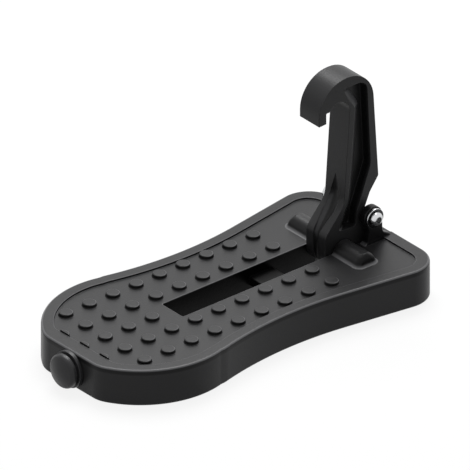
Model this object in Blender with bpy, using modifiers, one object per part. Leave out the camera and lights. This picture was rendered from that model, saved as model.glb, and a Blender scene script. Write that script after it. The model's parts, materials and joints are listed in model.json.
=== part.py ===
"""Car door latch step: a cast foot plate with a folding hook for the door striker.

Run with: blender --background --python part.py
Metres, +Z up. The plate lies flat with its underside on Z = 0. X runs along the plate, from the
rubber bumper to the hinge end, and Y = 0 is the plane of symmetry. The origin is below the middle
of the whole length, bumper included.
"""
import math

import bmesh
import bpy
from mathutils import Matrix, Vector

MM = 0.001

# Clearances
SEAT_GAP = 0.3 * MM            # between pieces that touch in the real object
HOOK_SIDE_GAP = 0.45 * MM      # on each side of the hook in the slot

# Foot plate outline
PLATE_LENGTH = 155.0 * MM
PLATE_HEIGHT = 15.7 * MM
LOBE_RADIUS = 38.4 * MM        # round bumper end
LOBE_CUT = 3.4 * MM            # cut off the lobe by the bumper end face
LOBE_BLEND = 12.0 * MM         # round between the lobe and its end face
WAIST_FROM_LOBE = 50.5 * MM    # narrowest place, from the lobe centre
WAIST_HALF = 32.1 * MM
WAIST_RADIUS = 155.0 * MM
FLARE_ANGLE = math.radians(9.0)
END_CORNER = 12.4 * MM
EDGE_ROUND = 1.0 * MM
WALL = 3.0 * MM
DECK_THICKNESS = 2.6 * MM

# Raised rim round the deck
RIM_HEIGHT = 0.9 * MM
RIM_WIDTH = 5.0 * MM
RIM_AT_BUMPER = 6.6 * MM
RIM_AT_HINGE = 5.6 * MM
RIM_CORNER = 7.5 * MM

# Tread studs
STUD_PITCH = 11.8 * MM
STUD_RADIUS = 2.8 * MM
STUD_HEIGHT = 1.4 * MM
STUD_ROUND = 0.5 * MM
STUD_ROW_REACH = 2             # rows on each side of the middle row
STUD_COLUMNS = 10
FIRST_STUD_FROM_END = 5.6 * MM
STUD_MARGIN = 3.0 * MM         # clear deck kept round the slot

# Ribs of the open underside
CELL_LENGTH = 13.0 * MM
CELL_WIDTH = 12.2 * MM
RIB = 2.4 * MM
SLOT_WALL = 2.75 * MM
CELL_LEAST = 4.0 * MM          # narrower corners of the underside stay solid

# Hinge of the hook
HINGE_FROM_END = 23.5 * MM     # hinge pin, from the hinge end face
PIN_RADIUS = 2.5 * MM
PIN_LENGTH = 38.0 * MM
END_CHAMFER = 0.5 * MM         # on the pin and the bolt
HUMP_RADIUS = 4.7 * MM         # half-round housing over each end of the pin
HUMP_OUTER = 22.0 * MM
HUMP_END_DRAFT = 2.0 * MM      # how much shorter the crest is at each end
HUMP_CORNER = 2.0 * MM
HUMP_FILLET = 1.8 * MM
HUMP_SINK = 0.06 * MM          # edge of the foot's round below the deck
HUB_RADIUS = 7.9 * MM

# Stop bolt across the two ears
STOP_BACK = 12.5 * MM          # bolt behind the hinge pin
STOP_UP = 11.6 * MM            # bolt above the hinge pin
BOLT_RADIUS = 2.0 * MM
BOLT_HEAD_RADIUS = 2.9 * MM
BOLT_HEAD_HEIGHT = 1.7 * MM
BOLT_SOCKET_RADIUS = 1.4 * MM
BOLT_SOCKET_DEPTH = 1.0 * MM
BOLT_OVERRUN = 1.2 * MM        # thread showing past the nut
BOLT_LAND = 0.3 * MM           # flat ring round the socket
WASHER_RADIUS = 4.1 * MM
WASHER_THICKNESS = 1.0 * MM
NUT_FLATS = 7.0 * MM
NUT_HEIGHT = 3.2 * MM
NUT_COLLAR = 1.5 * MM
NUT_COLLAR_STEP = 0.3 * MM     # collar inside the flats
INSERT_GAP = 0.15 * MM
INSERT_RADIUS = 2.7 * MM
INSERT_HEIGHT = 1.1 * MM
EAR_RADIUS = 4.4 * MM
EAR_CROWN = 4.2 * MM           # round of the ear's top
EAR_INNER = 6.9 * MM
EAR_THICKNESS = 3.4 * MM
EAR_SPREAD = 0.5 * MM          # how much wider each ear is at its foot
EAR_NECK = 2.0 * MM            # narrowest place of the ear's front, ahead of the bolt
EAR_NECK_DROP = 5.6 * MM       # and below it
EAR_NECK_ROUND = 6.0 * MM
EAR_FOOT = 3.4 * MM            # foot of the ear's front, ahead of the bolt
EAR_CHEEK = 1.4 * MM           # straight front below the bolt's height
EAR_CHEEK_ROUND = 2.5 * MM
GUSSET_RISE = 3.6 * MM
GUSSET_ROUND = 1.5 * MM

# Slot and the bridge across it
HOOK_THICKNESS = 11.6 * MM
SLOT_TIP_ROOM = 5.0 * MM       # finger room past the folded hook
SLOT_HEEL_ROOM = 1.3 * MM
BRIDGE_FROM_HINGE = 30.1 * MM  # middle of the bridge
BRIDGE_LENGTH = 12.4 * MM
BRIDGE_BELOW_DECK = 4.2 * MM
BRIDGE_THICKNESS = 4.0 * MM
BRIDGE_ROUND = 0.7 * MM

# Hook arm, measured from the hinge pin: back (+X) and up (+Z)
THROAT_BACK = -1.1 * MM
THROAT_UP = 60.2 * MM
THROAT_RADIUS = 5.5 * MM
HEAD_OVER_THROAT = 15.0 * MM   # top of the hook above the middle of its throat
HOOK_NOSE = -11.1 * MM
NOSE_ROUND = 13.6 * MM
SHOULDER_BACK = 15.65 * MM
SHOULDER_ROUND = 13.3 * MM
TIP_DROP = 1.8 * MM            # end of the tip below the middle of the throat
TIP_THICKNESS = 3.7 * MM
TIP_ROUND = 1.0 * MM
LIP_RISE = 2.8 * MM            # step behind the tip, above the middle of the throat
LIP_ROUND = 0.5 * MM
SHANK_FRONT_FOOT = (1.5 * MM, 19.0 * MM)
SHANK_ROUND = 9.0 * MM
CHIN_UP = 8.2 * MM
CHIN_ROUND = 5.0 * MM
KNEE = (18.85 * MM, 26.2 * MM)
KNEE_ROUND = 1.5 * MM
KNEE_NOTCH = (14.5 * MM, 20.3 * MM)
NOTCH_ROUND = 2.0 * MM
HEEL_CLEAR = 0.3 * MM          # heel arc inside the stop bolt
HEEL_ROUND = 0.6 * MM
HEEL_END = math.radians(-8)
HUB_START = math.radians(-50)
HOOK_EDGE = 0.5 * MM
RECESS_DEPTH = 4.3 * MM
RECESS_FILLET = 1.8 * MM
RECESS_RIM = 3.2 * MM          # left along the hook's front and back
RECESS_TOP_RIM = 4.4 * MM
RECESS_OVER_HUB = 0.5 * MM
CHANNEL_RADIUS = 2.3 * MM
CHANNEL_RISE = 10.0 * MM       # groove's start above the foot of the shank

# End bumper and its screw
BUMPER_REACH = 6.5 * MM
BUMPER_UP = 7.9 * MM
BUMPER_RADIUS = 7.1 * MM
COLLAR_RADIUS = 7.7 * MM
COLLAR_LENGTH = 1.5 * MM
GROOVE_RADIUS = 6.3 * MM
GROOVE_LENGTH = 0.8 * MM
CROWN = 1.9 * MM
COLLAR_EDGE = 0.3 * MM
SCREW_RADIUS = 2.0 * MM
SCREW_HEAD_RADIUS = 3.5 * MM
SCREW_HEAD_HEIGHT = 2.4 * MM
SCREW_REACH = 4.4 * MM         # screw inside the bumper
SCREW_WASHER_RADIUS = 4.0 * MM
SCREW_WASHER_THICKNESS = 0.8 * MM
SCREW_TIP_CHAMFER = 0.4 * MM

# Places worked out from the sizes above
BUMPER_END = -(PLATE_LENGTH + BUMPER_REACH) / 2 + BUMPER_REACH
HINGE_END = BUMPER_END + PLATE_LENGTH
LOBE_X = BUMPER_END + LOBE_RADIUS - LOBE_CUT
WAIST_X = LOBE_X + WAIST_FROM_LOBE
DECK_Z = PLATE_HEIGHT - RIM_HEIGHT
CEILING_Z = DECK_Z - DECK_THICKNESS
HINGE_X = HINGE_END - HINGE_FROM_END
HINGE_Z = DECK_Z
HOOK_TOP = THROAT_UP + HEAD_OVER_THROAT
STOP_X = HINGE_X + STOP_BACK
STOP_Z = HINGE_Z + STOP_UP
STOP_DISTANCE = math.hypot(STOP_BACK, STOP_UP)
STOP_ANGLE = math.atan2(STOP_UP, STOP_BACK)
SEAT_ANGLE = STOP_ANGLE + math.asin((BOLT_RADIUS + SEAT_GAP) / STOP_DISTANCE)
SEAT_REACH = STOP_DISTANCE + BOLT_RADIUS
HEEL_RADIUS = STOP_DISTANCE - BOLT_RADIUS - HEEL_CLEAR
EAR_OUTER = EAR_INNER + EAR_THICKNESS
SLOT_HALF = HOOK_THICKNESS / 2 + HOOK_SIDE_GAP
SLOT_START = HINGE_X - HOOK_TOP - SLOT_TIP_ROOM
SLOT_END = HINGE_X + HEEL_RADIUS + SLOT_HEEL_ROOM
BRIDGE_X = HINGE_X - BRIDGE_FROM_HINGE
FAR = 0.05                     # reach of a cutter past what it cuts


# Scene and materials

def clear_scene():
    """Removes what the start-up file holds."""
    for item in list(bpy.data.objects):
        bpy.data.objects.remove(item, do_unlink=True)


def new_collection(name):
    collection = bpy.data.collections.new(name)
    bpy.context.scene.collection.children.link(collection)
    return collection


def finish(name, colour, roughness, metallic):
    """A plain Principled material."""
    material = bpy.data.materials.new(name)
    material.use_nodes = True
    shader = material.node_tree.nodes["Principled BSDF"]
    shader.inputs["Base Color"].default_value = (*colour, 1.0)
    shader.inputs["Roughness"].default_value = roughness
    shader.inputs["Metallic"].default_value = metallic
    return material


def add_object(name, mesh, collection):
    item = bpy.data.objects.new(name, mesh)
    collection.objects.link(item)
    return item


def as_tool(item):
    """Marks a cutter or a joining shape, which is not a piece of the object."""
    item.hide_render = True
    item.display_type = 'WIRE'
    return item


# Outlines

def arc(centre, radius, start, end, steps):
    """Points along an arc, both ends included. Angles in radians."""
    return [(centre[0] + radius * math.cos(start + (end - start) * i / steps),
             centre[1] + radius * math.sin(start + (end - start) * i / steps))
            for i in range(steps + 1)]


def rounded(corners, step=math.radians(15)):
    """A closed outline through corners (x, y, radius), each rounded by its radius."""
    outline = []
    for i, (x, y, radius) in enumerate(corners):
        corner = Vector((x, y))
        before = (Vector(corners[i - 1][:2]) - corner).normalized()
        after = (Vector(corners[(i + 1) % len(corners)][:2]) - corner).normalized()
        turn = math.pi - before.angle(after)
        if radius == 0 or turn < 0.01:
            outline.append((x, y))
            continue
        reach = radius * math.tan(turn / 2)
        centre = corner + (before + after).normalized() * math.hypot(radius, reach)
        first = corner + before * reach - centre
        last = corner + after * reach - centre
        start = math.atan2(first.y, first.x)
        sweep = math.remainder(math.atan2(last.y, last.x) - start, 2 * math.pi)
        steps = max(2, math.ceil(abs(sweep) / step))
        outline += arc(centre, radius, start, start + sweep, steps)
    return outline


def plate_outline(inset, at_bumper, at_hinge, corner):
    """The foot plate seen from above, moved inwards by inset."""
    lobe = LOBE_RADIUS - inset
    waist = WAIST_RADIUS + inset
    end_x = BUMPER_END + at_bumper
    blend = LOBE_BLEND - inset
    blend_x = end_x + blend
    blend_y = math.sqrt((lobe - blend) ** 2 - (blend_x - LOBE_X) ** 2)
    blend_angle = math.atan2(blend_y, blend_x - LOBE_X)
    waist_y = WAIST_HALF + WAIST_RADIUS
    lobe_angle = math.atan2(waist_y, WAIST_X - LOBE_X)
    half = arc((blend_x, blend_y), blend, math.pi, blend_angle, 4)
    half += arc((LOBE_X, 0), lobe, blend_angle, lobe_angle, 12)[1:]
    half += arc((WAIST_X, waist_y), waist, math.pi + lobe_angle, 1.5 * math.pi + FLARE_ANGLE, 9)[1:]
    flare_x, flare_y = half[-1]
    corner_x = HINGE_END - at_hinge - corner
    line_y = flare_y + (corner_x - flare_x) * math.tan(FLARE_ANGLE)
    corner_y = line_y - corner / math.cos(FLARE_ANGLE)
    half += arc((corner_x, corner_y), corner, math.pi / 2 + FLARE_ANGLE, 0, 8)
    return half + [(x, -y) for x, y in reversed(half)]


# Solids

def prism(name, outline, low, high, collection, upright=False):
    """A flat outline with thickness: along Z, or along Y where it stands upright."""
    curve = bpy.data.curves.new(name, 'CURVE')
    curve.dimensions = '2D'
    curve.fill_mode = 'BOTH'
    curve.extrude = (high - low) / 2
    spline = curve.splines.new('POLY')
    spline.points.add(len(outline) - 1)
    for point, (x, y) in zip(spline.points, outline):
        point.co = (x, y, 0.0, 1.0)
    spline.use_cyclic_u = True
    guide = bpy.data.objects.new(name, curve)
    bpy.context.scene.collection.objects.link(guide)
    bpy.context.view_layer.update()
    mesh = bpy.data.meshes.new_from_object(guide.evaluated_get(bpy.context.evaluated_depsgraph_get()))
    mesh.name = name
    bpy.data.objects.remove(guide, do_unlink=True)
    middle = (low + high) / 2
    if upright:
        place = Matrix.Translation((0, middle, 0)) @ Matrix.Rotation(math.pi / 2, 4, 'X')
    else:
        place = Matrix.Translation((0, 0, middle))
    shape = bmesh.new()
    shape.from_mesh(mesh)
    bmesh.ops.remove_doubles(shape, verts=shape.verts, dist=1e-6)
    bmesh.ops.dissolve_limit(shape, angle_limit=0.002, verts=shape.verts, edges=shape.edges)
    bmesh.ops.transform(shape, matrix=place, verts=shape.verts)
    bmesh.ops.recalc_face_normals(shape, faces=shape.faces)
    shape.to_mesh(mesh)
    shape.free()
    return add_object(name, mesh, collection)


def box(name, low, high, collection):
    """A box between two corners."""
    mesh = bpy.data.meshes.new(name)
    shape = bmesh.new()
    add_box(shape, low, high)
    shape.to_mesh(mesh)
    shape.free()
    return add_object(name, mesh, collection)


def add_box(shape, low, high):
    size = [h - l for l, h in zip(low, high)]
    middle = [(l + h) / 2 for l, h in zip(low, high)]
    place = Matrix.Translation(middle) @ Matrix.Diagonal((*size, 1.0))
    bmesh.ops.create_cube(shape, size=1.0, matrix=place)


def loft(name, rings, collection):
    """A solid through closed rings of equally many points, from the lowest ring up."""
    mesh = bpy.data.meshes.new(name)
    shape = bmesh.new()
    loops = [[shape.verts.new(point) for point in ring] for ring in rings]
    shape.faces.new(reversed(loops[0]))
    shape.faces.new(loops[-1])
    for lower, upper in zip(loops, loops[1:]):
        for i in range(len(lower)):
            j = (i + 1) % len(lower)
            shape.faces.new((lower[i], lower[j], upper[j], upper[i]))
    shape.to_mesh(mesh)
    shape.free()
    return add_object(name, mesh, collection)


def turned(name, profile, steps, collection, place):
    """A turned piece: profile points (radius, height) from the top down, then set by place."""
    mesh = bpy.data.meshes.new(name)
    shape = bmesh.new()
    points = [shape.verts.new((radius, 0.0, height)) for radius, height in profile]
    for a, b in zip(points, points[1:]):
        shape.edges.new((a, b))
    if profile[0][0] > 0:
        shape.edges.new((points[-1], points[0]))
    shape.to_mesh(mesh)
    shape.free()
    item = add_object(name, mesh, collection)
    item.matrix_world = place
    screw = item.modifiers.new("turn", 'SCREW')
    screw.steps = steps
    screw.render_steps = steps
    screw.use_merge_vertices = True
    screw.merge_threshold = 0.00001
    return item


def along_y(x, y, z):
    """Puts a turned piece's top towards -Y."""
    return Matrix.Translation((x, y, z)) @ Matrix.Rotation(math.pi / 2, 4, 'X')


def along_x(x, y, z):
    """Puts a turned piece's top towards -X."""
    return Matrix.Translation((x, y, z)) @ Matrix.Rotation(-math.pi / 2, 4, 'Y')


def combine(item, tool, operation, name):
    """A live Boolean: DIFFERENCE, UNION or INTERSECT."""
    modifier = item.modifiers.new(name, 'BOOLEAN')
    modifier.operation = operation
    modifier.solver = 'EXACT'
    modifier.object = as_tool(tool)
    return modifier


def soften(item, width, segments, angle=40):
    """Rounds the sharp edges of an item."""
    bevel = item.modifiers.new("soften", 'BEVEL')
    bevel.width = width
    bevel.segments = segments
    bevel.limit_method = 'ANGLE'
    bevel.angle_limit = math.radians(angle)
    return bevel


def shade(item, angle=30):
    """Smooth shading with sharp corners kept."""
    item.data.shade_smooth()
    item.data.set_sharp_from_angle(angle=math.radians(angle))


# Foot plate

def stud_places():
    """Centres of the tread studs: a square grid, without the slot and the plate's corners."""
    first = BUMPER_END + FIRST_STUD_FROM_END
    places = []
    for column in range(STUD_COLUMNS):
        for row in range(-STUD_ROW_REACH, STUD_ROW_REACH + 1):
            x = first + column * STUD_PITCH
            y = row * STUD_PITCH
            at_corner = x < LOBE_X and math.hypot(x - LOBE_X, y) > LOBE_RADIUS - RIM_WIDTH
            near_slot = x > SLOT_START - STUD_MARGIN and abs(y) < SLOT_HALF + STUD_RADIUS
            if not at_corner and not near_slot:
                places.append((x, y))
    return places


def studs(tools):
    """All tread studs as one tool, trimmed by the rim's inner edge."""
    profile = [(0, STUD_HEIGHT),
               (STUD_RADIUS - STUD_ROUND, STUD_HEIGHT),
               (STUD_RADIUS - STUD_ROUND / 4, STUD_HEIGHT - STUD_ROUND),
               (STUD_RADIUS, -DECK_THICKNESS / 2),
               (0, -DECK_THICKNESS / 2)]
    sides = 16
    mesh = bpy.data.meshes.new("studs")
    shape = bmesh.new()
    for x, y in stud_places():
        rings = []
        for radius, height in profile[1:-1]:
            rings.append([shape.verts.new((x + px, y + py, DECK_Z + height))
                          for px, py in arc((0, 0), radius, 0, 2 * math.pi, sides)[:-1]])
        shape.faces.new(rings[0])
        shape.faces.new(reversed(rings[-1]))
        for upper, lower in zip(rings, rings[1:]):
            for i in range(sides):
                j = (i + 1) % sides
                shape.faces.new((upper[i], lower[i], lower[j], upper[j]))
    bmesh.ops.recalc_face_normals(shape, faces=shape.faces)
    shape.to_mesh(mesh)
    shape.free()
    item = as_tool(add_object("studs", mesh, tools))
    trim = prism("stud_trim", deck_outline(), CEILING_Z, PLATE_HEIGHT + FAR, tools)
    combine(item, trim, 'INTERSECT', "trim")
    return item


def deck_outline():
    return plate_outline(RIM_WIDTH, RIM_AT_BUMPER, RIM_AT_HINGE, RIM_CORNER)


def underside_cells(tools):
    """The pockets between the ribs of the underside, as one tool."""
    inside = plate_outline(WALL, WALL, WALL, END_CORNER - WALL)
    first_x = BUMPER_END + WALL
    columns = int((PLATE_LENGTH - WALL) / (CELL_LENGTH + RIB)) + 1
    inner = SLOT_HALF + SLOT_WALL
    bands = [(inner, inner + CELL_WIDTH), (inner + CELL_WIDTH + RIB, LOBE_RADIUS)]
    mesh = bpy.data.meshes.new("underside_cells")
    shape = bmesh.new()
    for column in range(columns):
        low_x = first_x + column * (CELL_LENGTH + RIB)
        high_x = min(low_x + CELL_LENGTH, HINGE_END - WALL)
        if high_x - low_x < CELL_LEAST:
            continue
        under_pin = low_x < HINGE_X + HUMP_RADIUS and high_x > HINGE_X - HUMP_RADIUS
        for number, (near, far) in enumerate(bands):
            middle_x = (low_x + high_x) / 2
            reach = min(half_width(inside, middle_x), far)
            if reach - near < CELL_LEAST or (under_pin and number == 0):
                continue
            for side in (-1, 1):
                ends = sorted((side * near, side * (far + WALL if number else far)))
                add_box(shape, (low_x, ends[0], -FAR), (high_x, ends[1], CEILING_Z))
        if high_x < SLOT_START - SLOT_WALL:
            add_box(shape, (low_x, -SLOT_HALF, -FAR), (high_x, SLOT_HALF, CEILING_Z))
    shape.to_mesh(mesh)
    shape.free()
    item = as_tool(add_object("underside_cells", mesh, tools))
    trim = prism("cell_trim", inside, -2 * FAR, PLATE_HEIGHT, tools)
    combine(item, trim, 'INTERSECT', "trim")
    return item


def half_width(outline, x):
    """The outline's largest Y where it crosses x."""
    widest = 0.0
    for (x0, y0), (x1, y1) in zip(outline, outline[1:]):
        if min(x0, x1) <= x <= max(x0, x1) and x0 != x1:
            widest = max(widest, y0 + (y1 - y0) * (x - x0) / (x1 - x0))
    return widest


def pin_housing(tools):
    """Half-round housing over the hinge pin, with a soft foot and drafted ends. The slot parts it."""
    start = math.asin(HUMP_FILLET / HUMP_RADIUS)
    side = HUMP_RADIUS * math.cos(start)
    levels = [(side + HUMP_FILLET, HUMP_FILLET, -DECK_THICKNESS / 2),
              (side + HUMP_FILLET, HUMP_FILLET, -HUMP_SINK)]
    for turn in (math.pi / 6, math.pi / 3):
        spread = HUMP_FILLET * (1 - math.sin(turn))
        levels.append((side + spread, spread, HUMP_FILLET * (1 - math.cos(turn))))
    for across, up in arc((0, 0), HUMP_RADIUS, start, math.radians(84), 6):
        levels.append((across, -HUMP_END_DRAFT * (1 - across / HUMP_RADIUS), up))
    rings = []
    for half, further, height in levels:
        reach = HUMP_OUTER + further
        corner = min(HUMP_CORNER + max(further, 0), 0.9 * half)
        corners = [(HINGE_X - half, -reach, corner), (HINGE_X + half, -reach, corner),
                   (HINGE_X + half, reach, corner), (HINGE_X - half, reach, corner)]
        rings.append([(x, y, DECK_Z + height) for x, y in rounded(corners, math.radians(30))])
    return loft("pin_housing", rings, tools)


def ear(side, tools):
    """One lug of the stop bolt, with the gusset behind it."""
    top = STOP_Z + EAR_RADIUS
    gusset_end = HINGE_END - EDGE_ROUND
    corners = [(STOP_X - EAR_FOOT, CEILING_Z, 0),
               (gusset_end, CEILING_Z, 0),
               (gusset_end, DECK_Z + RIM_HEIGHT / 2, 0),
               (STOP_X + EAR_RADIUS + EAR_SPREAD, DECK_Z + GUSSET_RISE, GUSSET_ROUND),
               (STOP_X + EAR_RADIUS, top, EAR_CROWN),
               (STOP_X - EAR_RADIUS, top, EAR_CROWN),
               (STOP_X - EAR_RADIUS, STOP_Z - EAR_CHEEK, EAR_CHEEK_ROUND),
               (STOP_X - EAR_NECK, STOP_Z - EAR_NECK_DROP, EAR_NECK_ROUND)]
    ends = sorted((side * EAR_INNER, side * EAR_OUTER))
    return prism("ear", rounded(corners), *ends, tools, upright=True)


def step_plate(parts, tools):
    """The cast foot plate: deck, rim, studs, slot, bridge, pin housings, ears and ribs."""
    plate = prism("step_plate", plate_outline(0, 0, 0, END_CORNER), 0, PLATE_HEIGHT, parts)
    soften(plate, EDGE_ROUND, 2)
    recess = prism("deck_recess", deck_outline(), DECK_Z, PLATE_HEIGHT + FAR, tools)
    combine(plate, recess, 'DIFFERENCE', "deck")
    saddle_half = (EAR_INNER + EAR_OUTER) / 2
    saddle = box("end_saddle", (HINGE_END - RIM_AT_HINGE - EDGE_ROUND, -saddle_half, DECK_Z),
                 (HINGE_END + FAR, saddle_half, PLATE_HEIGHT + FAR), tools)
    combine(plate, saddle, 'DIFFERENCE', "saddle")
    combine(plate, underside_cells(tools), 'DIFFERENCE', "cells")
    combine(plate, studs(tools), 'UNION', "studs")
    combine(plate, pin_housing(tools), 'UNION', "pin_housing")
    for side in (-1, 1):
        combine(plate, ear(side, tools), 'UNION', "ear")
    slot = box("slot", (SLOT_START, -SLOT_HALF, -FAR), (SLOT_END, SLOT_HALF, DECK_Z + FAR), tools)
    combine(plate, slot, 'DIFFERENCE', "slot")
    bridge_top = DECK_Z - BRIDGE_BELOW_DECK
    bridge = box("bridge", (BRIDGE_X - BRIDGE_LENGTH / 2, -SLOT_HALF - SLOT_WALL / 2,
                            bridge_top - BRIDGE_THICKNESS),
                 (BRIDGE_X + BRIDGE_LENGTH / 2, SLOT_HALF + SLOT_WALL / 2, bridge_top), tools)
    soften(bridge, BRIDGE_ROUND, 2)
    combine(plate, bridge, 'UNION', "bridge")
    combine(plate, pin_channel(tools), 'DIFFERENCE', "pin_channel")
    bolt_bore = turned("bolt_bore", rod(BOLT_RADIUS + SEAT_GAP, EAR_OUTER + FAR), 24, tools,
                       along_y(STOP_X, 0, STOP_Z))
    combine(plate, bolt_bore, 'DIFFERENCE', "bolt_bore")
    screw_bore = turned("screw_bore", rod(SCREW_RADIUS + SEAT_GAP, WALL), 16, tools,
                        along_x(BUMPER_END, 0, BUMPER_UP))
    combine(plate, screw_bore, 'DIFFERENCE', "screw_bore")
    shade(plate)
    return plate


def rod(radius, half_length):
    """Profile of a plain rod about its middle."""
    return [(0, half_length), (radius, half_length), (radius, -half_length), (0, -half_length)]


def pin_channel(tools):
    """The seat of the hinge pin, open below, where the pin is pressed in."""
    radius = PIN_RADIUS + SEAT_GAP
    outline = [(HINGE_X + radius, -FAR)]
    outline += [(HINGE_X + x, HINGE_Z + z) for x, z in arc((0, 0), radius, 0, math.pi, 12)]
    outline.append((HINGE_X - radius, -FAR))
    reach = PIN_LENGTH / 2 + SEAT_GAP
    return prism("pin_channel", outline, -reach, reach, tools, upright=True)


# Hook arm

def hook_outline():
    """The hook seen from its side, measured from the hinge pin."""
    throat_rear = THROAT_BACK + THROAT_RADIUS
    tip_end = THROAT_UP - TIP_DROP
    tip_inner = HOOK_NOSE + TIP_THICKNESS
    lip = THROAT_UP + LIP_RISE
    lip_angle = math.pi - math.asin(LIP_RISE / THROAT_RADIUS)
    corners = [(HOOK_NOSE, tip_end, TIP_ROUND),
               (HOOK_NOSE, HOOK_TOP, NOSE_ROUND),
               (SHOULDER_BACK, HOOK_TOP, SHOULDER_ROUND),
               (*KNEE, KNEE_ROUND),
               (*KNEE_NOTCH, NOTCH_ROUND),
               (SEAT_REACH * math.cos(SEAT_ANGLE), SEAT_REACH * math.sin(SEAT_ANGLE), HEEL_ROUND),
               (HEEL_RADIUS * math.cos(SEAT_ANGLE), HEEL_RADIUS * math.sin(SEAT_ANGLE), 0)]
    outline = rounded(corners)
    outline += arc((0, 0), HEEL_RADIUS, SEAT_ANGLE, HEEL_END, 7)[1:]
    outline += arc((0, 0), HUB_RADIUS, HUB_START, -math.pi, 9)
    chin = rounded([(-HUB_RADIUS, 0, 0), (-HUB_RADIUS, CHIN_UP, CHIN_ROUND),
                    (*SHANK_FRONT_FOOT, SHANK_ROUND),
                    (throat_rear, THROAT_UP, 0), (SHOULDER_BACK, 0, 0)])
    outline += chin[1:-2]
    outline += arc((THROAT_BACK, THROAT_UP), THROAT_RADIUS, 0, lip_angle, 11)
    outline += arc((tip_inner + LIP_ROUND, lip - LIP_ROUND), LIP_ROUND, math.pi / 2, math.pi, 2)
    outline.append((tip_inner, tip_end))
    return outline


def recess_outline():
    """The pocket in each side of the hook, which leaves a rim and a thin web."""
    low = HUB_RADIUS + RECESS_OVER_HUB
    top = HOOK_TOP - RECESS_TOP_RIM
    throat_rear = THROAT_BACK + THROAT_RADIUS
    foot_x, foot_z = SHANK_FRONT_FOOT
    seat_x = HEEL_RADIUS * math.cos(SEAT_ANGLE)
    corners = [(-RECESS_OVER_HUB, low, 1.2 * MM),
               (seat_x - RECESS_RIM * 0.65, low - RECESS_RIM / 4, 1.5 * MM),
               (seat_x - RECESS_RIM * 0.35, SEAT_REACH * math.sin(SEAT_ANGLE), 4.0 * MM),
               (KNEE[0] - RECESS_RIM * 1.2, KNEE[1] + 2 * RECESS_RIM, 8.0 * MM),
               (SHOULDER_BACK - RECESS_RIM * 0.8, top, 4.5 * MM),
               (throat_rear - RECESS_RIM * 0.8, top, 1.4 * MM),
               (throat_rear + RECESS_RIM * 1.15, THROAT_UP, 3.0 * MM),
               (foot_x + RECESS_RIM * 1.45, foot_z + THROAT_UP / 4, 10.0 * MM),
               (foot_x + RECESS_RIM * 0.85, foot_z, 8.0 * MM)]
    return rounded(corners, math.radians(20))


def channel(tools):
    """The tapering groove down the front of the hook's foot."""
    foot_x, foot_z = SHANK_FRONT_FOOT
    middle = ((foot_x - HUB_RADIUS) / 2, (foot_z + CHIN_UP) / 2)
    route = [(foot_x + CHANNEL_RADIUS * 0.65, foot_z + CHANNEL_RISE, 0.1),
             (foot_x + CHANNEL_RADIUS * 0.4, foot_z + CHANNEL_RISE / 2, 0.35),
             (foot_x - CHANNEL_RADIUS * 0.2, foot_z - CHANNEL_RADIUS * 0.2, 0.6),
             (middle[0] + CHANNEL_RADIUS * 0.15, middle[1] - CHANNEL_RADIUS * 0.25, 0.85),
             (CHANNEL_RADIUS * 0.65 - HUB_RADIUS, CHIN_UP + CHANNEL_RADIUS * 0.2, 1.0),
             (CHANNEL_RADIUS * 0.1 - HUB_RADIUS, CHIN_UP / 2, 1.0),
             (CHANNEL_RADIUS * 0.15 - HUB_RADIUS, -CHANNEL_RADIUS, 0.9)]
    curve = bpy.data.curves.new("channel", 'CURVE')
    curve.dimensions = '3D'
    curve.bevel_depth = CHANNEL_RADIUS
    curve.bevel_resolution = 3
    curve.use_fill_caps = True
    spline = curve.splines.new('POLY')
    spline.points.add(len(route) - 1)
    for point, (back, up, share) in zip(spline.points, route):
        point.co = (back, 0.0, up, 1.0)
        point.radius = share
    guide = bpy.data.objects.new("channel", curve)
    bpy.context.scene.collection.objects.link(guide)
    bpy.context.view_layer.update()
    mesh = bpy.data.meshes.new_from_object(guide.evaluated_get(bpy.context.evaluated_depsgraph_get()))
    bpy.data.objects.remove(guide, do_unlink=True)
    shape = bmesh.new()
    shape.from_mesh(mesh)
    bmesh.ops.remove_doubles(shape, verts=shape.verts, dist=1e-6)
    bmesh.ops.recalc_face_normals(shape, faces=shape.faces)
    shape.to_mesh(mesh)
    shape.free()
    return add_object("channel", mesh, tools)


def hook_arm(parts, tools):
    """The cast hook: tip, throat, ribbed arm and hub, with its origin on the hinge pin."""
    place = Matrix.Translation((HINGE_X, 0, HINGE_Z))
    half = HOOK_THICKNESS / 2
    arm = prism("hook_arm", hook_outline(), -half, half, parts, upright=True)
    arm.matrix_world = place
    soften(arm, HOOK_EDGE, 1)
    for side in (-1, 1):
        ends = sorted((side * (half - RECESS_DEPTH), side * (half + FAR)))
        recess = prism("recess", recess_outline(), *ends, tools, upright=True)
        recess.matrix_world = place
        soften(recess, RECESS_FILLET, 2)
        combine(arm, recess, 'DIFFERENCE', "recess")
    groove = channel(tools)
    groove.matrix_world = place
    combine(arm, groove, 'DIFFERENCE', "channel")
    bore = turned("hinge_bore", rod(PIN_RADIUS + SEAT_GAP, HOOK_THICKNESS), 24, tools,
                  along_y(HINGE_X, 0, HINGE_Z))
    combine(arm, bore, 'DIFFERENCE', "bore")
    shade(arm)
    return arm


# Pins, bolt, nut and washers

def hinge_pin(parts):
    """Steel pin through the hook's hub, chamfered at both ends."""
    half = PIN_LENGTH / 2
    flat = PIN_RADIUS - END_CHAMFER
    profile = [(0, half), (flat, half), (PIN_RADIUS, half - END_CHAMFER),
               (PIN_RADIUS, END_CHAMFER - half), (flat, -half), (0, -half)]
    return turned("hinge_pin", profile, 24, parts, along_y(HINGE_X, 0, HINGE_Z))


def washer(name, radius, thickness, hole, steps, parts, place):
    profile = [(hole, thickness), (radius, thickness), (radius, 0), (hole, 0)]
    return turned(name, profile, steps, parts, place)


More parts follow.
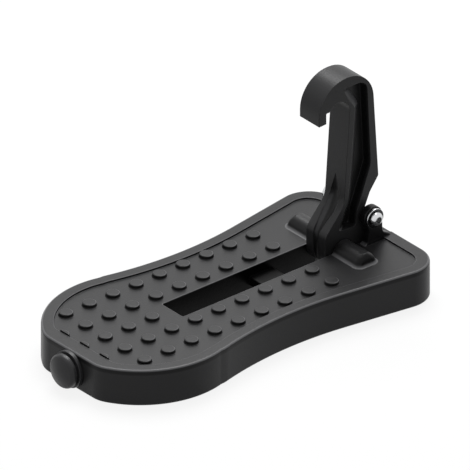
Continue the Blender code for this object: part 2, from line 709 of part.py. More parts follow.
def stop_bolt(parts, tools):
    """Button-head socket bolt across the ears, which carries the hook's back."""
    seat = EAR_OUTER + 2 * SEAT_GAP + WASHER_THICKNESS
    end = seat + NUT_HEIGHT + NUT_COLLAR + SEAT_GAP + BOLT_OVERRUN
    head = BOLT_HEAD_HEIGHT
    crown = math.acos((BOLT_SOCKET_RADIUS + BOLT_LAND) / BOLT_HEAD_RADIUS)
    profile = [(0, seat + head)]
    profile += [(BOLT_HEAD_RADIUS * math.cos(a), seat + head * math.sin(a) / math.sin(crown))
                for a in (crown, crown * 2 / 3, crown / 3)]
    profile += [(BOLT_HEAD_RADIUS, seat), (BOLT_RADIUS, seat), (BOLT_RADIUS, END_CHAMFER - end),
                (BOLT_RADIUS - END_CHAMFER, -end), (0, -end)]
    bolt = turned("stop_bolt", profile, 24, parts, along_y(STOP_X, 0, STOP_Z))
    socket = hexagon("socket", 2 * BOLT_SOCKET_RADIUS * math.cos(math.pi / 6),
                     -(seat + head + FAR), BOLT_SOCKET_DEPTH - seat - head, tools)
    combine(bolt, socket, 'DIFFERENCE', "socket")
    return bolt


def hexagon(name, flats, low, high, collection):
    """A six-sided prism on the stop bolt's axis, flats wide."""
    radius = flats / math.sqrt(3)
    outline = [(STOP_X + x, STOP_Z + z)
               for x, z in arc((0, 0), radius, 0, 2 * math.pi, 6)[:-1]]
    return prism(name, outline, low, high, collection, upright=True)


def lock_nut(parts, tools):
    """Hexagon nut with a round collar, which holds the nylon ring."""
    low = EAR_OUTER + 2 * SEAT_GAP + WASHER_THICKNESS + SEAT_GAP
    high = low + NUT_HEIGHT
    nut = hexagon("lock_nut", NUT_FLATS, low, high, parts)
    collar_radius = NUT_FLATS / 2 - NUT_COLLAR_STEP
    collar = turned("nut_collar", rod(collar_radius, NUT_HEIGHT / 2 + NUT_COLLAR), 24, tools,
                    along_y(STOP_X, (low + high) / 2, STOP_Z))
    lower = box("collar_trim", (STOP_X - FAR, low - FAR, STOP_Z - FAR),
                (STOP_X + FAR, high - NUT_COLLAR / 2, STOP_Z + FAR), tools)
    combine(collar, lower, 'DIFFERENCE', "trim")
    combine(nut, collar, 'UNION', "collar")
    depth = INSERT_HEIGHT + SEAT_GAP
    bore_radius = BOLT_RADIUS + SEAT_GAP
    pocket_radius = INSERT_RADIUS + INSERT_GAP
    stepped = [(0, FAR), (bore_radius, FAR), (bore_radius, depth), (pocket_radius, depth),
               (pocket_radius, -FAR), (0, -FAR)]
    bore = turned("nut_bore", stepped, 24, tools, along_y(STOP_X, high + NUT_COLLAR, STOP_Z))
    combine(nut, bore, 'DIFFERENCE', "bore")
    return nut


def fasteners(parts, tools):
    stop_bolt(parts, tools)
    hole = BOLT_RADIUS + SEAT_GAP
    washer("bolt_washer", WASHER_RADIUS, WASHER_THICKNESS, hole, 28, parts,
           along_y(STOP_X, -EAR_OUTER - SEAT_GAP, STOP_Z))
    washer("nut_washer", WASHER_RADIUS, WASHER_THICKNESS, hole, 28, parts,
           along_y(STOP_X, EAR_OUTER + SEAT_GAP + WASHER_THICKNESS, STOP_Z))
    lock_nut(parts, tools)
    ring_top = EAR_OUTER + 3 * SEAT_GAP + WASHER_THICKNESS + NUT_HEIGHT + NUT_COLLAR
    washer("nut_insert", INSERT_RADIUS, INSERT_HEIGHT, hole, 24, parts,
           along_y(STOP_X, ring_top, STOP_Z))


# End bumper

def end_bumper(parts):
    """Rubber buffer: collar, groove and crowned head, with a blind bore for its screw."""
    head_start = COLLAR_LENGTH + GROOVE_LENGTH
    bore = SCREW_RADIUS + SEAT_GAP
    top = BUMPER_REACH - SEAT_GAP
    edge = BUMPER_RADIUS * 0.2
    profile = [(0, top), (BUMPER_RADIUS * 0.45, top - CROWN * 0.12),
               (BUMPER_RADIUS * 0.75, top - CROWN * 0.42),
               (BUMPER_RADIUS - edge * 0.35, top - CROWN),
               (BUMPER_RADIUS, top - CROWN - edge * 0.7),
               (BUMPER_RADIUS, head_start + COLLAR_EDGE),
               (GROOVE_RADIUS, head_start), (GROOVE_RADIUS, COLLAR_LENGTH),
               (COLLAR_RADIUS - COLLAR_EDGE, COLLAR_LENGTH),
               (COLLAR_RADIUS, COLLAR_LENGTH - COLLAR_EDGE),
               (COLLAR_RADIUS, 0), (bore, 0), (bore, SCREW_REACH), (0, SCREW_REACH)]
    return turned("end_bumper", profile, 32, parts,
                  along_x(BUMPER_END - SEAT_GAP, 0, BUMPER_UP))


def bumper_screw(parts):
    """Pan-head screw from inside the plate, and its washer."""
    wall_face = BUMPER_END + WALL
    washer_far = wall_face + SEAT_GAP + SCREW_WASHER_THICKNESS
    washer("bumper_washer", SCREW_WASHER_RADIUS, SCREW_WASHER_THICKNESS, SCREW_RADIUS + SEAT_GAP,
           24, parts, along_x(washer_far, 0, BUMPER_UP))
    seat = washer_far + SEAT_GAP
    reach = seat - BUMPER_END + SCREW_REACH - 2 * SEAT_GAP
    low = -SCREW_HEAD_HEIGHT
    profile = [(0, reach), (SCREW_RADIUS - SCREW_TIP_CHAMFER, reach),
               (SCREW_RADIUS, reach - SCREW_TIP_CHAMFER),
               (SCREW_RADIUS, 0), (SCREW_HEAD_RADIUS, 0), (SCREW_HEAD_RADIUS, low * 0.6),
               (SCREW_HEAD_RADIUS * 0.75, low), (0, low)]
    turned("bumper_screw", profile, 20, parts, along_x(seat, 0, BUMPER_UP))


def dress(parts):
    """Gives each piece its own plain material."""
    black_paint = ((0.028, 0.029, 0.030), 0.55, 0.0)
    zinc = ((0.72, 0.73, 0.74), 0.28, 1.0)
    looks = {"step_plate": black_paint, "hook_arm": black_paint, "hinge_pin": zinc,
             "stop_bolt": zinc, "bolt_washer": zinc, "nut_washer": zinc, "lock_nut": zinc,
             "nut_insert": ((0.75, 0.76, 0.74), 0.5, 0.0),
             "end_bumper": ((0.022, 0.022, 0.023), 0.5, 0.0),
             "bumper_screw": zinc, "bumper_washer": zinc}
    for item in parts.objects:
        item.data.materials.append(finish(item.name, *looks[item.name]))


def main():
    clear_scene()
    parts = new_collection("car_door_latch_step")
    tools = new_collection("cutters")
    step_plate(parts, tools)
    hook_arm(parts, tools)
    hinge_pin(parts)
    fasteners(parts, tools)
    end_bumper(parts)
    bumper_screw(parts)
    dress(parts)
    for item in parts.objects:
        if item.name not in ("step_plate", "hook_arm"):
            item.data.shade_smooth()
    bpy.context.view_layer.update()


main()
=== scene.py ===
"""Looks of the car door latch step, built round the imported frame.

Each operator makes one piece, or a group of like pieces, and sets it on its body of the frame. The
sizes and colours that a user would change are in the property groups. Metres, +Z up; X runs from
the rubber bumper to the hinge end, and Y = 0 is the plane of symmetry.
"""

import json
import math

import bmesh
import bpy
from bpy.props import FloatProperty, FloatVectorProperty, PointerProperty
from mathutils import Matrix, Vector

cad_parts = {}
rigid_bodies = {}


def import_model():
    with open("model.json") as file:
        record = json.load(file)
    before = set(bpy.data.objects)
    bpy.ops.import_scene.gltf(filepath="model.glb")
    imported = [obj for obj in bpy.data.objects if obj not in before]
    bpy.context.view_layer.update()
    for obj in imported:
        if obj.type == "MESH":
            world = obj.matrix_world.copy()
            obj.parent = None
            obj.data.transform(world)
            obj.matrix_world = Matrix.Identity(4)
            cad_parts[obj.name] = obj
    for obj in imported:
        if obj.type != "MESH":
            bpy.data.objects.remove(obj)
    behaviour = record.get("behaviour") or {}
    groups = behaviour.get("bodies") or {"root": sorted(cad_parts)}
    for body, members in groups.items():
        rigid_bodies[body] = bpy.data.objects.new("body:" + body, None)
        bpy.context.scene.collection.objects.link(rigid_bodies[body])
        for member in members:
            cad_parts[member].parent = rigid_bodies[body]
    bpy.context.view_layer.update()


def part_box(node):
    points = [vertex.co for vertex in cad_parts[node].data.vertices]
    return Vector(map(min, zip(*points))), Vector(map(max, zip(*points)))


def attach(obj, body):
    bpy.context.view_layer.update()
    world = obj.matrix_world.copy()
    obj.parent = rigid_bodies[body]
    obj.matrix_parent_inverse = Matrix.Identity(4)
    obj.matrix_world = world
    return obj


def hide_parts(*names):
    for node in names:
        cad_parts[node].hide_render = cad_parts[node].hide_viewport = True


bl_info = {
    "name": "Car door latch step",
    "version": (1, 0, 0),
    "blender": (4, 5, 0),
    "location": "View3D > Sidebar > Latch step",
    "description": "Builds the visible pieces of a car door latch step and its stage",
    "category": "Object",
}

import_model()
MM = 0.001
PLATE_LOW, PLATE_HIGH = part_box("step_plate")
PIN_LOW, PIN_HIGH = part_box("hinge_pin")
BOLT_LOW, BOLT_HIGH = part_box("stop_bolt")
BUMPER_END = PLATE_LOW.x
HINGE_END = PLATE_HIGH.x
HINGE_X, HINGE_Z = (PIN_LOW.x + PIN_HIGH.x) / 2, (PIN_LOW.z + PIN_HIGH.z) / 2
STOP_X, STOP_Z = (BOLT_LOW.x + BOLT_HIGH.x) / 2, (BOLT_LOW.z + BOLT_HIGH.z) / 2
DECK_Z = HINGE_Z
FAR = 0.05  # how far a cutter reaches past its piece
SEAT_GAP = 0.3 * MM  # between pieces that touch in the real object

# The plate seen from above: a round lobe at the bumper, a waist, and a flare to the hinge end
LOBE_RADIUS = 38.4 * MM
LOBE_X = BUMPER_END + LOBE_RADIUS - 3.4 * MM
LOBE_BLEND = 12.0 * MM
WAIST_X = LOBE_X + 50.5 * MM
WAIST_HALF = 32.1 * MM
WAIST_RADIUS = 155.0 * MM
FLARE_ANGLE = math.radians(9.0)
END_CORNER = 12.4 * MM
RIM_AT_BUMPER = 6.6 * MM
RIM_AT_HINGE = 5.6 * MM
RIM_CORNER = 7.5 * MM
WALL = 3.0 * MM

# The slot for the folded hook, and the bridge that the hook lies on
SLOT_HALF = 6.25 * MM
SLOT_START = HINGE_X - 80.2 * MM
SLOT_END = HINGE_X + 16.05 * MM
SLOT_WALL = 2.75 * MM
BRIDGE_X = HINGE_X - 30.1 * MM
BRIDGE_HALF = 6.2 * MM
BRIDGE_TOP = DECK_Z - 4.2 * MM

# Hinge pin and stop bolt, both along Y
PIN_RADIUS = 2.5 * MM
PIN_SEAT_HALF = 19.3 * MM
BOLT_RADIUS = 2.0 * MM
EAR_INNER, EAR_OUTER = 6.9 * MM, 10.3 * MM
WASHER = 1.0 * MM
SEAT = EAR_OUTER + 2 * SEAT_GAP + WASHER
NUT_LOW = SEAT + SEAT_GAP
NUT_HIGH = NUT_LOW + 3.2 * MM
NUT_TOP = NUT_HIGH + 1.5 * MM
BOLT_END = NUT_TOP + 1.2 * MM

# Rubber bumper and its screw, both along X
BUMPER_Z = 7.9 * MM
SCREW_BORE = 2.3 * MM
SCREW_RADIUS = 2.0 * MM
SCREW_WASHER = 0.8 * MM
BUMPER_BORE = 4.4 * MM  # how deep the screw's blind bore is

# The photograph's own view, without perspective
AZIMUTH, ELEVATION = math.radians(-40.05), math.radians(29.81)
PICTURE_WIDTH = 470
PIXELS_PER_MM = 2.589
PICTURE_MIDDLE = Vector((8.58, 0.0, 36.6)) * MM


def length(name, description, default):
    """A size in metres."""
    return FloatProperty(name=name, description=description, default=default, min=0.0,
                         unit='LENGTH', subtype='DISTANCE', precision=5)


def colour(name, description, default):
    """A colour without alpha."""
    return FloatVectorProperty(name=name, description=description, default=default, size=3,
                               min=0.0, max=1.0, subtype='COLOR')


class PlateSizes(bpy.types.PropertyGroup):
    """Sizes of the cast foot plate."""
    height: length("Height", "Underside to the top of the rim", DECK_Z + 0.9 * MM)
    edge_round: length("Edge round", "Round of the outer edges", 1.0 * MM)
    wall: length("Wall", "Thickness of the outer wall", WALL)
    deck_thickness: length("Deck thickness", "Deck between the ribs", 2.6 * MM)
    rim_width: length("Rim width", "Raised rim along the sides", 5.0 * MM)
    stud_pitch: length("Stud pitch", "Distance between the tread studs", 11.8 * MM)
    stud_radius: length("Stud radius", "Radius of a tread stud", 2.8 * MM)
    stud_height: length("Stud height", "Height of a tread stud", 1.5 * MM)
    hump_radius: length("Hump radius", "Half-round housing of the hinge pin", 4.7 * MM)
    ear_radius: length("Ear radius", "Round of the stop bolt's ears", 4.4 * MM)


class HookSizes(bpy.types.PropertyGroup):
    """Sizes of the hook arm, measured from the hinge pin."""
    thickness: length("Thickness", "Width of the hook across the plate", 11.6 * MM)
    top: length("Top", "Hinge pin to the top of the hook", 75.2 * MM)
    throat_radius: length("Throat radius", "Seat of the door striker", 5.5 * MM)
    tip_thickness: length("Tip thickness", "Front of the hook's tip to its inner face", 3.7 * MM)
    recess_depth: length("Pocket depth", "Depth of the pocket in each side", 4.3 * MM)
    edge_round: length("Edge round", "Round of the hook's edges", 1.0 * MM)


class FastenerSizes(bpy.types.PropertyGroup):
    """Sizes of the stop bolt, its nut and washers."""
    bolt_radius: length("Bolt radius", "Shank of the stop bolt", BOLT_RADIUS)
    head_radius: length("Head radius", "Button head of the stop bolt", 2.9 * MM)
    washer_radius: length("Washer radius", "Flat washers of the stop bolt", 4.1 * MM)
    nut_flats: length("Nut flats", "Width of the nut across its flats", 7.0 * MM)
    pitch: length("Thread pitch", "Pitch of the bolt's thread", 0.7 * MM)


class BumperSizes(bpy.types.PropertyGroup):
    """Sizes of the rubber bumper."""
    radius: length("Radius", "Head of the bumper", 7.1 * MM)
    reach: length("Reach", "How far it stands out of the plate", 6.2 * MM)
    collar: length("Collar radius", "Collar against the plate", 7.7 * MM)


class Colours(bpy.types.PropertyGroup):
    """Colours of the finishes and levels of the lights."""
    paint: colour("Paint", "Satin paint of the foot plate", (0.026, 0.026, 0.027))
    hook_paint: colour("Hook paint", "Satin paint of the hook", (0.025, 0.025, 0.026))
    zinc: colour("Zinc", "Plated steel", (0.72, 0.73, 0.74))
    rubber: colour("Rubber", "End bumper", (0.030, 0.030, 0.032))
    nylon: colour("Nylon", "Ring of the lock nut", (0.72, 0.72, 0.68))
    floor: colour("Floor", "Floor and backdrop", (1.0, 1.0, 1.0))
    bounce: FloatProperty(name="Bounce", description="Share of light the floor throws back",
                          default=0.3, min=0.0, max=1.0)
    sky: FloatProperty(name="Sky", description="Level of the even light", default=0.34, min=0.0)
    key: FloatProperty(name="Key", description="Power of the soft box above", default=12.2, min=0.0)


# Node trees

class Value:
    """A number in a node tree, with the usual arithmetic."""

    def __init__(self, socket, graph):
        self.socket = socket
        self.graph = graph

    def apply(self, operation, first, second=0.0):
        """Adds a Math node."""
        return self.graph.value("ShaderNodeMath", {"operation": operation}, {0: first, 1: second})

    def __add__(self, other):
        return self.apply('ADD', self, other)

    def __sub__(self, other):
        return self.apply('SUBTRACT', self, other)

    def __rsub__(self, other):
        return self.apply('SUBTRACT', other, self)

    def __mul__(self, other):
        return self.apply('MULTIPLY', self, other)

    def __truediv__(self, other):
        return self.apply('DIVIDE', self, other)

    def __pow__(self, other):
        return self.apply('POWER', self, other)

    def __gt__(self, other):
        return self.apply('GREATER_THAN', self, other)

    def __lt__(self, other):
        return self.apply('LESS_THAN', self, other)

    def __abs__(self):
        return self.apply('ABSOLUTE', self)

    def within(self, low, high):
        """This value, kept between two numbers."""
        return self.apply('MINIMUM', self.apply('MAXIMUM', self, low), high)

    def rise(self, low, high):
        """0 at low and 1 at high, with high below low for a fall."""
        return ((self - low) / (high - low)).within(0.0, 1.0)

    __radd__ = __add__
    __rmul__ = __mul__


class Graph:
    """A node tree, for a material or for Geometry Nodes."""

    def __init__(self, tree):
        self.tree = tree

    def node(self, kind, settings=None, inputs=None):
        """Adds a node: its settings first, then the values or links of its sockets."""
        made = self.tree.nodes.new(kind)
        for name, setting in (settings or {}).items():
            setattr(made, name, setting)
        for key, given in (inputs or {}).items():
            given = getattr(given, "socket", given)
            if isinstance(given, bpy.types.NodeSocket):
                self.tree.links.new(given, made.inputs[key])
            else:
                made.inputs[key].default_value = given
        return made

    def value(self, kind, settings=None, inputs=None):
        """The same, and returns its first output for arithmetic."""
        return Value(self.node(kind, settings, inputs).outputs[0], self)

    def split(self, vector):
        """The three parts of a vector."""
        parts = self.node("ShaderNodeSeparateXYZ", None, {0: vector}).outputs
        return [Value(part, self) for part in parts]


# Finishes

class Finish(Graph):
    """A Principled material on Object coordinates."""

    def __init__(self, name, base, roughness, metallic=0.0, specular=0.5):
        self.material = bpy.data.materials.new(name)
        self.material.use_nodes = True
        super().__init__(self.material.node_tree)
        self.base = base
        self.shader = self.tree.nodes["Principled BSDF"]
        for socket, given in (("Base Color", (*base, 1.0)), ("Roughness", roughness),
                              ("Metallic", metallic), ("Specular IOR Level", specular)):
            self.shader.inputs[socket].default_value = given
        coordinates = self.node("ShaderNodeTexCoord").outputs
        self.place, self.normal = coordinates["Object"], coordinates["Normal"]

    def measured(self, x, z):
        """Object coordinates in millimetres, with X and Z counted from a point of the part."""
        ahead, across, up = self.split(self.place)
        return (ahead - x) / MM, across / MM, (up - z) / MM

    def noise(self, scale, detail=2.0, roughness=0.5, stretch=(1.0, 1.0, 1.0)):
        """Noise from 0 to 1, scale in features to the metre."""
        place = self.node("ShaderNodeMapping", inputs={"Vector": self.place, "Scale": stretch})
        return self.value("ShaderNodeTexNoise", None,
                          {"Vector": place.outputs[0], "Scale": scale, "Detail": detail,
                           "Roughness": roughness})

    def blend(self, mask, factor, more=0.0):
        """The base colour, going over to a lighter or darker tint of it where the mask is 1."""
        tint = (*(c * factor + more for c in self.base), 1.0)
        mixed = self.node("ShaderNodeMix", {"data_type": 'RGBA'},
                          {0: mask, 6: (*self.base, 1.0), 7: tint})
        return mixed.outputs[2]

    def scaled(self, tone, factor):
        """A colour, darker or lighter by a factor."""
        return self.node("ShaderNodeVectorMath", {"operation": 'SCALE'},
                         {0: tone, "Scale": factor}).outputs[0]

    def feed(self, socket, source):
        """Links a value or colour to one of the shader's sockets."""
        self.tree.links.new(getattr(source, "socket", source), self.shader.inputs[socket])

    def bump(self, height, depth, edge=0.0):
        """Fine relief, over edges that are softened by a small round."""
        inputs = {"Height": height, "Distance": depth}
        if edge:
            inputs["Normal"] = self.node("ShaderNodeBevel", {"samples": 6},
                                         {"Radius": edge}).outputs[0]
        self.feed("Normal", self.node("ShaderNodeBump", None, inputs).outputs[0])


# Used for painted shade, and to keep the painted highlights off some places.
def lowered_by(*masks):
    """A factor of 1, brought down by the strength of each mask where that mask is 1."""
    return math.prod(1.0 - mask * strength for mask, strength in masks)


def plate_shade(look):
    """Painted shade in the slot, round the ears, on the pin housing and just under the top edge,
    and a painted highlight along the rounded top edges.
    """
    x, y, z = look.measured(HINGE_X, DECK_Z)
    up = look.split(look.normal)[2]
    aside = abs(y)
    start, end, bolt = ((place - HINGE_X) / MM for place in (SLOT_START, SLOT_END, STOP_X))
    # Painted shade: darker in the slot, round the ears, on the pin housing and under the top edge.
    in_slot = (z.rise(-0.35, -0.8) * aside.rise(7.2, 6.6) * x.rise(start - 1.0, start)
               * x.rise(end + 1.0, end))
    raised = z.rise(0.3, 1.6)
    at_ears = raised * aside.rise(10.8, 10.4) * x.rise(bolt - 6.0, bolt - 4.5)
    at_housing = raised * abs(x).rise(8.0, 7.0) * aside.rise(25.0, 24.0)
    at_ends = at_housing * aside.rise(19.0, 21.2)
    below_rim = up.rise(0.45, 0.2) * z.rise(-1.6, -0.9) * z.rise(0.95, 0.85)
    # Painted highlight along the rounded top edges, left off at the ears and the housing.
    edge = up.rise(0.3, 0.6) * up.rise(0.998, 0.96) * z.rise(-0.6, -0.4)
    painted_highlight = edge * lowered_by((at_ears, 1.0), (at_housing, 1.0))
    return lowered_by((in_slot, 0.96), (at_ears, 0.6), (at_housing * up.rise(0.98, 0.75), 0.5),
                  (at_ends, 0.5), (below_rim, 0.6)) * (1.0 + painted_highlight * 4.0)


def hook_shade(look):
    """Painted shade in the pockets, the groove, low on the foot and on the near front edge; painted
    light on the shank below the head, and a painted highlight on the upper edges.
    """
    x, y, z = look.measured(HINGE_X, HINGE_Z)
    ahead, beside, up = look.split(look.normal)
    aside, flank = abs(y), abs(beside)
    front = z * 0.0805 + 0.77
    behind = x - front.apply('MINIMUM', front, z * 0.573 - 8.6)
    # Painted shade in the side pockets, the front groove, low on the foot and on the near edge.
    pocket = (aside.rise(5.4, 4.2) * behind.rise(2.0, 9.0) * z.rise(7.2, 8.4)
              * z.rise(72.0, 71.0))
    wide = z.rise(9.0, 17.0) * 2.6 + 2.2
    groove = aside.rise(wide, 0.6) * z.rise(29.5, 24.0) * x.rise(4.2, 3.4)
    foot = z.rise(11.0, -1.0)
    # Painted light on the shank below the head, and a painted highlight on the upper edges.
    shank = z.rise(66.0, 58.0)
    edge = flank.rise(0.3, 0.5) * flank.rise(0.97, 0.85)
    crest = edge * up.rise(0.12, 0.3)
    arris = edge * up.rise(0.12, 0.0) * ahead.rise(-0.3, -0.5) * beside.rise(-0.2, -0.4)
    return (lowered_by((pocket, 0.8), (groove, 0.7), (foot, 0.6), (arris, 0.45))
            * (1.0 + shank * 0.25) * (1.0 + crest * 3.0))


def stud_shade(look):
    """Painted shade on the studs' sides, and a painted highlight round their tops, most towards the
    hinge end.
    """
    z = look.measured(HINGE_X, DECK_Z)[2]
    ahead, across, up = look.split(look.normal)
    # Painted shade on the sides, and a painted highlight round the top edge.
    side = up.rise(0.55, 0.25) + z.rise(0.7, 0.5) * up.rise(0.95, 0.7)
    top_edge = up.rise(0.45, 0.65) * up.rise(0.998, 0.95)
    painted_highlight = top_edge * (ahead * 0.77 - across * 0.64).rise(0.0, 0.4)
    return lowered_by((side.within(0.0, 1.0), 0.93)) * (1.0 + painted_highlight * 4.0)


def satin_paint(name, base, roughness, shade, shade_metallic=0.0):
    """Satin powder paint on a casting: fine orange peel, faint clouds and a few dull specks.

    Its shade scales the base colour as painted shade and painted highlights. Where it darkens, the
    clear gloss thins, and the last argument is the metallic share where it is darkest, which
    deepens the painted shade.
    """
    look = Finish(name, base, roughness, specular=0.18)
    factor = shade(look)
    whole = factor.within(0.0, 1.0)
    # Painted shade: where the shade falls, the paint turns partly metallic and reads darker.
    if shade_metallic:
        look.feed("Metallic", (1.0 - whole) * shade_metallic)
    look.shader.inputs["Coat Roughness"].default_value = 0.3
    look.feed("Coat Weight", look.split(look.normal)[2].rise(0.5, 0.95) * whole * 0.1)
    clouds = look.noise(45.0, 4.0, 0.55)
    peel = look.noise(1500.0)
    grit = look.noise(5200.0, 1.0, 0.6)
    tone = look.blend((clouds * 0.7 + grit * 0.5 - 0.3).within(0.0, 1.0), 1.2)
    # The shade factor paints shade and highlights into the base colour.
    look.feed("Base Color", look.scaled(tone, factor))
    look.feed("Roughness", (clouds * 0.10 + grit * 0.08 + (roughness - 0.09)).within(0.2, 0.9))
    look.bump(peel * 0.7 + grit * 0.3, 0.06 * MM, 0.35 * MM)


def plated_steel(name, base):
    """Zinc plating with fine turned lines, a clouded gloss, and painted shade round the bolt's
    head.
    """
    look = Finish(name, base, 0.24, metallic=1.0)
    x, y, z = look.measured(STOP_X, STOP_Z)
    away = (x * x + z * z) ** 0.5
    # Painted shade on the near washer's face and in the head's socket.
    washer = away.rise(2.75, 2.95) * away.rise(4.05, 3.9)
    socket = away.rise(1.6, 1.4) * y.rise(-12.0, -12.3)
    painted_shade = (washer + socket * 0.8) * y.rise(-9.0, -10.0)
    clouds = look.noise(260.0, 3.0, 0.6)
    lines = look.noise(900.0, stretch=(1.0, 9.0, 1.0))
    tone = look.blend((clouds * 0.8 - 0.15).within(0.0, 1.0), 0.72)
    look.feed("Base Color", look.scaled(tone, lowered_by((painted_shade, 0.93))))
    look.feed("Roughness", (clouds * 0.12 + lines * 0.05 + 0.06).within(0.05, 0.6))
    look.bump(lines, 0.02 * MM, 0.2 * MM)


def black_rubber(name, base):
    """Smooth moulded rubber, slightly mottled."""
    look = Finish(name, base, 0.42, specular=0.24)
    bloom = look.noise(120.0, 4.0, 0.6)
    look.feed("Base Color", look.blend((bloom - 0.2).within(0.0, 1.0), 1.5, 0.004))
    look.feed("Roughness", (bloom * 0.2 + 0.22).within(0.2, 0.8))
    look.bump(look.noise(4200.0, 1.0), 0.03 * MM)


def moulded_nylon(name, base):
    """Pale moulded nylon."""
    look = Finish(name, base, 0.45)
    clouds = look.noise(500.0)
    look.feed("Base Color", look.blend(clouds * 0.5, 0.85))
    look.bump(clouds, 0.02 * MM)


# Outlines

def arc(centre, radius, start, end, steps):
    """Points along an arc, both ends included. Angles in radians."""
    return [(centre[0] + radius * math.cos(start + (end - start) * i / steps),
             centre[1] + radius * math.sin(start + (end - start) * i / steps))
            for i in range(steps + 1)]


def circle(radius, steps, centre=(0, 0)):
    """Points round a circle, or the corners of a regular shape."""
    return arc(centre, radius, 0, 2 * math.pi, steps)[:-1]


def sweep(end, steps, first=0):
    """Angles from 0 to end in even steps, from the first of them that is wanted."""
    return [end * i / steps for i in range(first, steps + 1)]


def rounded(corners, step=math.radians(7.5)):
    """A closed outline through corners (x, y, radius), each rounded by its radius."""
    outline = []
    for i, (x, y, radius) in enumerate(corners):
        corner = Vector((x, y))
        before = (Vector(corners[i - 1][:2]) - corner).normalized()
        after = (Vector(corners[(i + 1) % len(corners)][:2]) - corner).normalized()
        turn = math.pi - before.angle(after)
        if radius == 0 or turn < 0.01:
            outline.append((x, y))
            continue
        reach = radius * math.tan(turn / 2)
        centre = corner + (before + after).normalized() * math.hypot(radius, reach)
        first = corner + before * reach - centre
        last = corner + after * reach - centre
        start = math.atan2(first.y, first.x)
        bend = math.remainder(math.atan2(last.y, last.x) - start, 2 * math.pi)
        outline += arc(centre, radius, start, start + bend, max(3, math.ceil(abs(bend) / step)))
    return outline


def rounded_slab(start, end, half, corner, step=math.radians(7.5)):
    """A rounded rectangle from start to end in X, and half to each side of Y = 0."""
    return rounded([(start, -half, corner), (end, -half, corner), (end, half, corner),
                    (start, half, corner)], step)


def plate_outline(inset, at_bumper, at_hinge, corner):
    """The foot plate seen from above, moved inwards by inset."""
    lobe = LOBE_RADIUS - inset
    waist = WAIST_RADIUS + inset
    blend = LOBE_BLEND - inset
    blend_x = BUMPER_END + at_bumper + blend
    blend_y = math.sqrt((lobe - blend) ** 2 - (blend_x - LOBE_X) ** 2)
    blend_angle = math.atan2(blend_y, blend_x - LOBE_X)
    waist_y = WAIST_HALF + WAIST_RADIUS
    lobe_angle = math.atan2(waist_y, WAIST_X - LOBE_X)
    half = arc((blend_x, blend_y), blend, math.pi, blend_angle, 12)
    half += arc((LOBE_X, 0), lobe, blend_angle, lobe_angle, 44)[1:]
    half += arc((WAIST_X, waist_y), waist, math.pi + lobe_angle, 1.5 * math.pi + FLARE_ANGLE,
                30)[1:]
    flare_x, flare_y = half[-1]
    corner_x = HINGE_END - at_hinge - corner
    line_y = flare_y + (corner_x - flare_x) * math.tan(FLARE_ANGLE)
    corner_y = line_y - corner / math.cos(FLARE_ANGLE)
    half += arc((corner_x, corner_y), corner, math.pi / 2 + FLARE_ANGLE, 0, 20)
    return half + [(x, -y) for x, y in reversed(half)]


# Solids. A tool is removed once the piece that it shapes is plain mesh.

def add_object(name, mesh):
    """A new object in the scene."""
    item = bpy.data.objects.new(name, mesh)
    bpy.context.scene.collection.objects.link(item)
    return item


def solid(name, rings, closed=False):
    """A skin through rings of points with the same count. Its ends are filled unless it closes."""
    mesh = bpy.data.meshes.new(name)
    shape = bmesh.new()
    loops = [[shape.verts.new(point) for point in ring] for ring in rings]
    pairs = list(zip(loops, loops[1:])) + ([(loops[-1], loops[0])] if closed else [])
    for upper, lower in pairs:
        count = max(len(upper), len(lower))
        for i in range(count):
            j = (i + 1) % count
            corners = [upper[i % len(upper)], lower[i % len(lower)],
                       lower[j % len(lower)], upper[j % len(upper)]]
            corners = list(dict.fromkeys(corners))
            if len(corners) > 2:
                shape.faces.new(corners)
    if not closed:
        for loop in (loops[0], loops[-1]):
            if len(loop) > 2:
                shape.faces.new(loop)
    bmesh.ops.recalc_face_normals(shape, faces=shape.faces)
    shape.to_mesh(mesh)
    shape.free()
    return add_object(name, mesh)


def prism(name, outline, low, high, upright=False):
    """A flat outline with thickness: along Z, or along Y where it stands upright."""
    if upright:
        return solid(name, [[(x, y, z) for x, z in outline] for y in (low, high)])
    return solid(name, [[(x, y, z) for x, y in outline] for z in (low, high)])


def turned(name, profile, steps, place):
    """A turned piece: profile points (radius, height), closed on itself if it is off the axis."""
    rings = []
    for radius, height in profile:
        if radius == 0:
            rings.append([place @ Vector((0, 0, height))])
        else:
            rings.append([place @ Vector((x, y, height)) for x, y in circle(radius, steps)])
    return solid(name, rings, closed=profile[0][0] > 0)


def rod(radius, reach):
    """The profile of a plain rod, reach to each side."""
    return [(0, reach), (radius, reach), (radius, -reach), (0, -reach)]


def box(name, low, high, edge=0.0):
    """A box between two corners, with rounded edges where it has any."""
    (x0, y0, z0), (x1, y1, z1) = low, high
    item = prism(name, [(x0, y0), (x1, y0), (x1, y1), (x0, y1)], z0, z1)
    return soften(item, edge, 4) if edge else item


def along_y(x, y, z):
    """Puts a turned piece's top towards -Y."""
    return Matrix.Translation((x, y, z)) @ Matrix.Rotation(math.pi / 2, 4, 'X')


def along_x(x, y, z):
    """Puts a turned piece's top towards -X."""
    return Matrix.Translation((x, y, z)) @ Matrix.Rotation(-math.pi / 2, 4, 'Y')


def combine(item, tool, operation):
    """Joins a tool to the item, or cuts the item by it, once the item is made plain."""
    modifier = item.modifiers.new(tool.name, 'BOOLEAN')
    modifier.operation = operation
    modifier.solver = 'EXACT'
    modifier.object = tool
    tool["is_tool"] = True


def soften(item, width, segments, angle=40):
    """Rounds the item's edges."""
    bevel = item.modifiers.new("soften", 'BEVEL')
    bevel.width = width
    bevel.segments = segments
    bevel.limit_method = 'ANGLE'
    bevel.angle_limit = math.radians(angle)
    return item


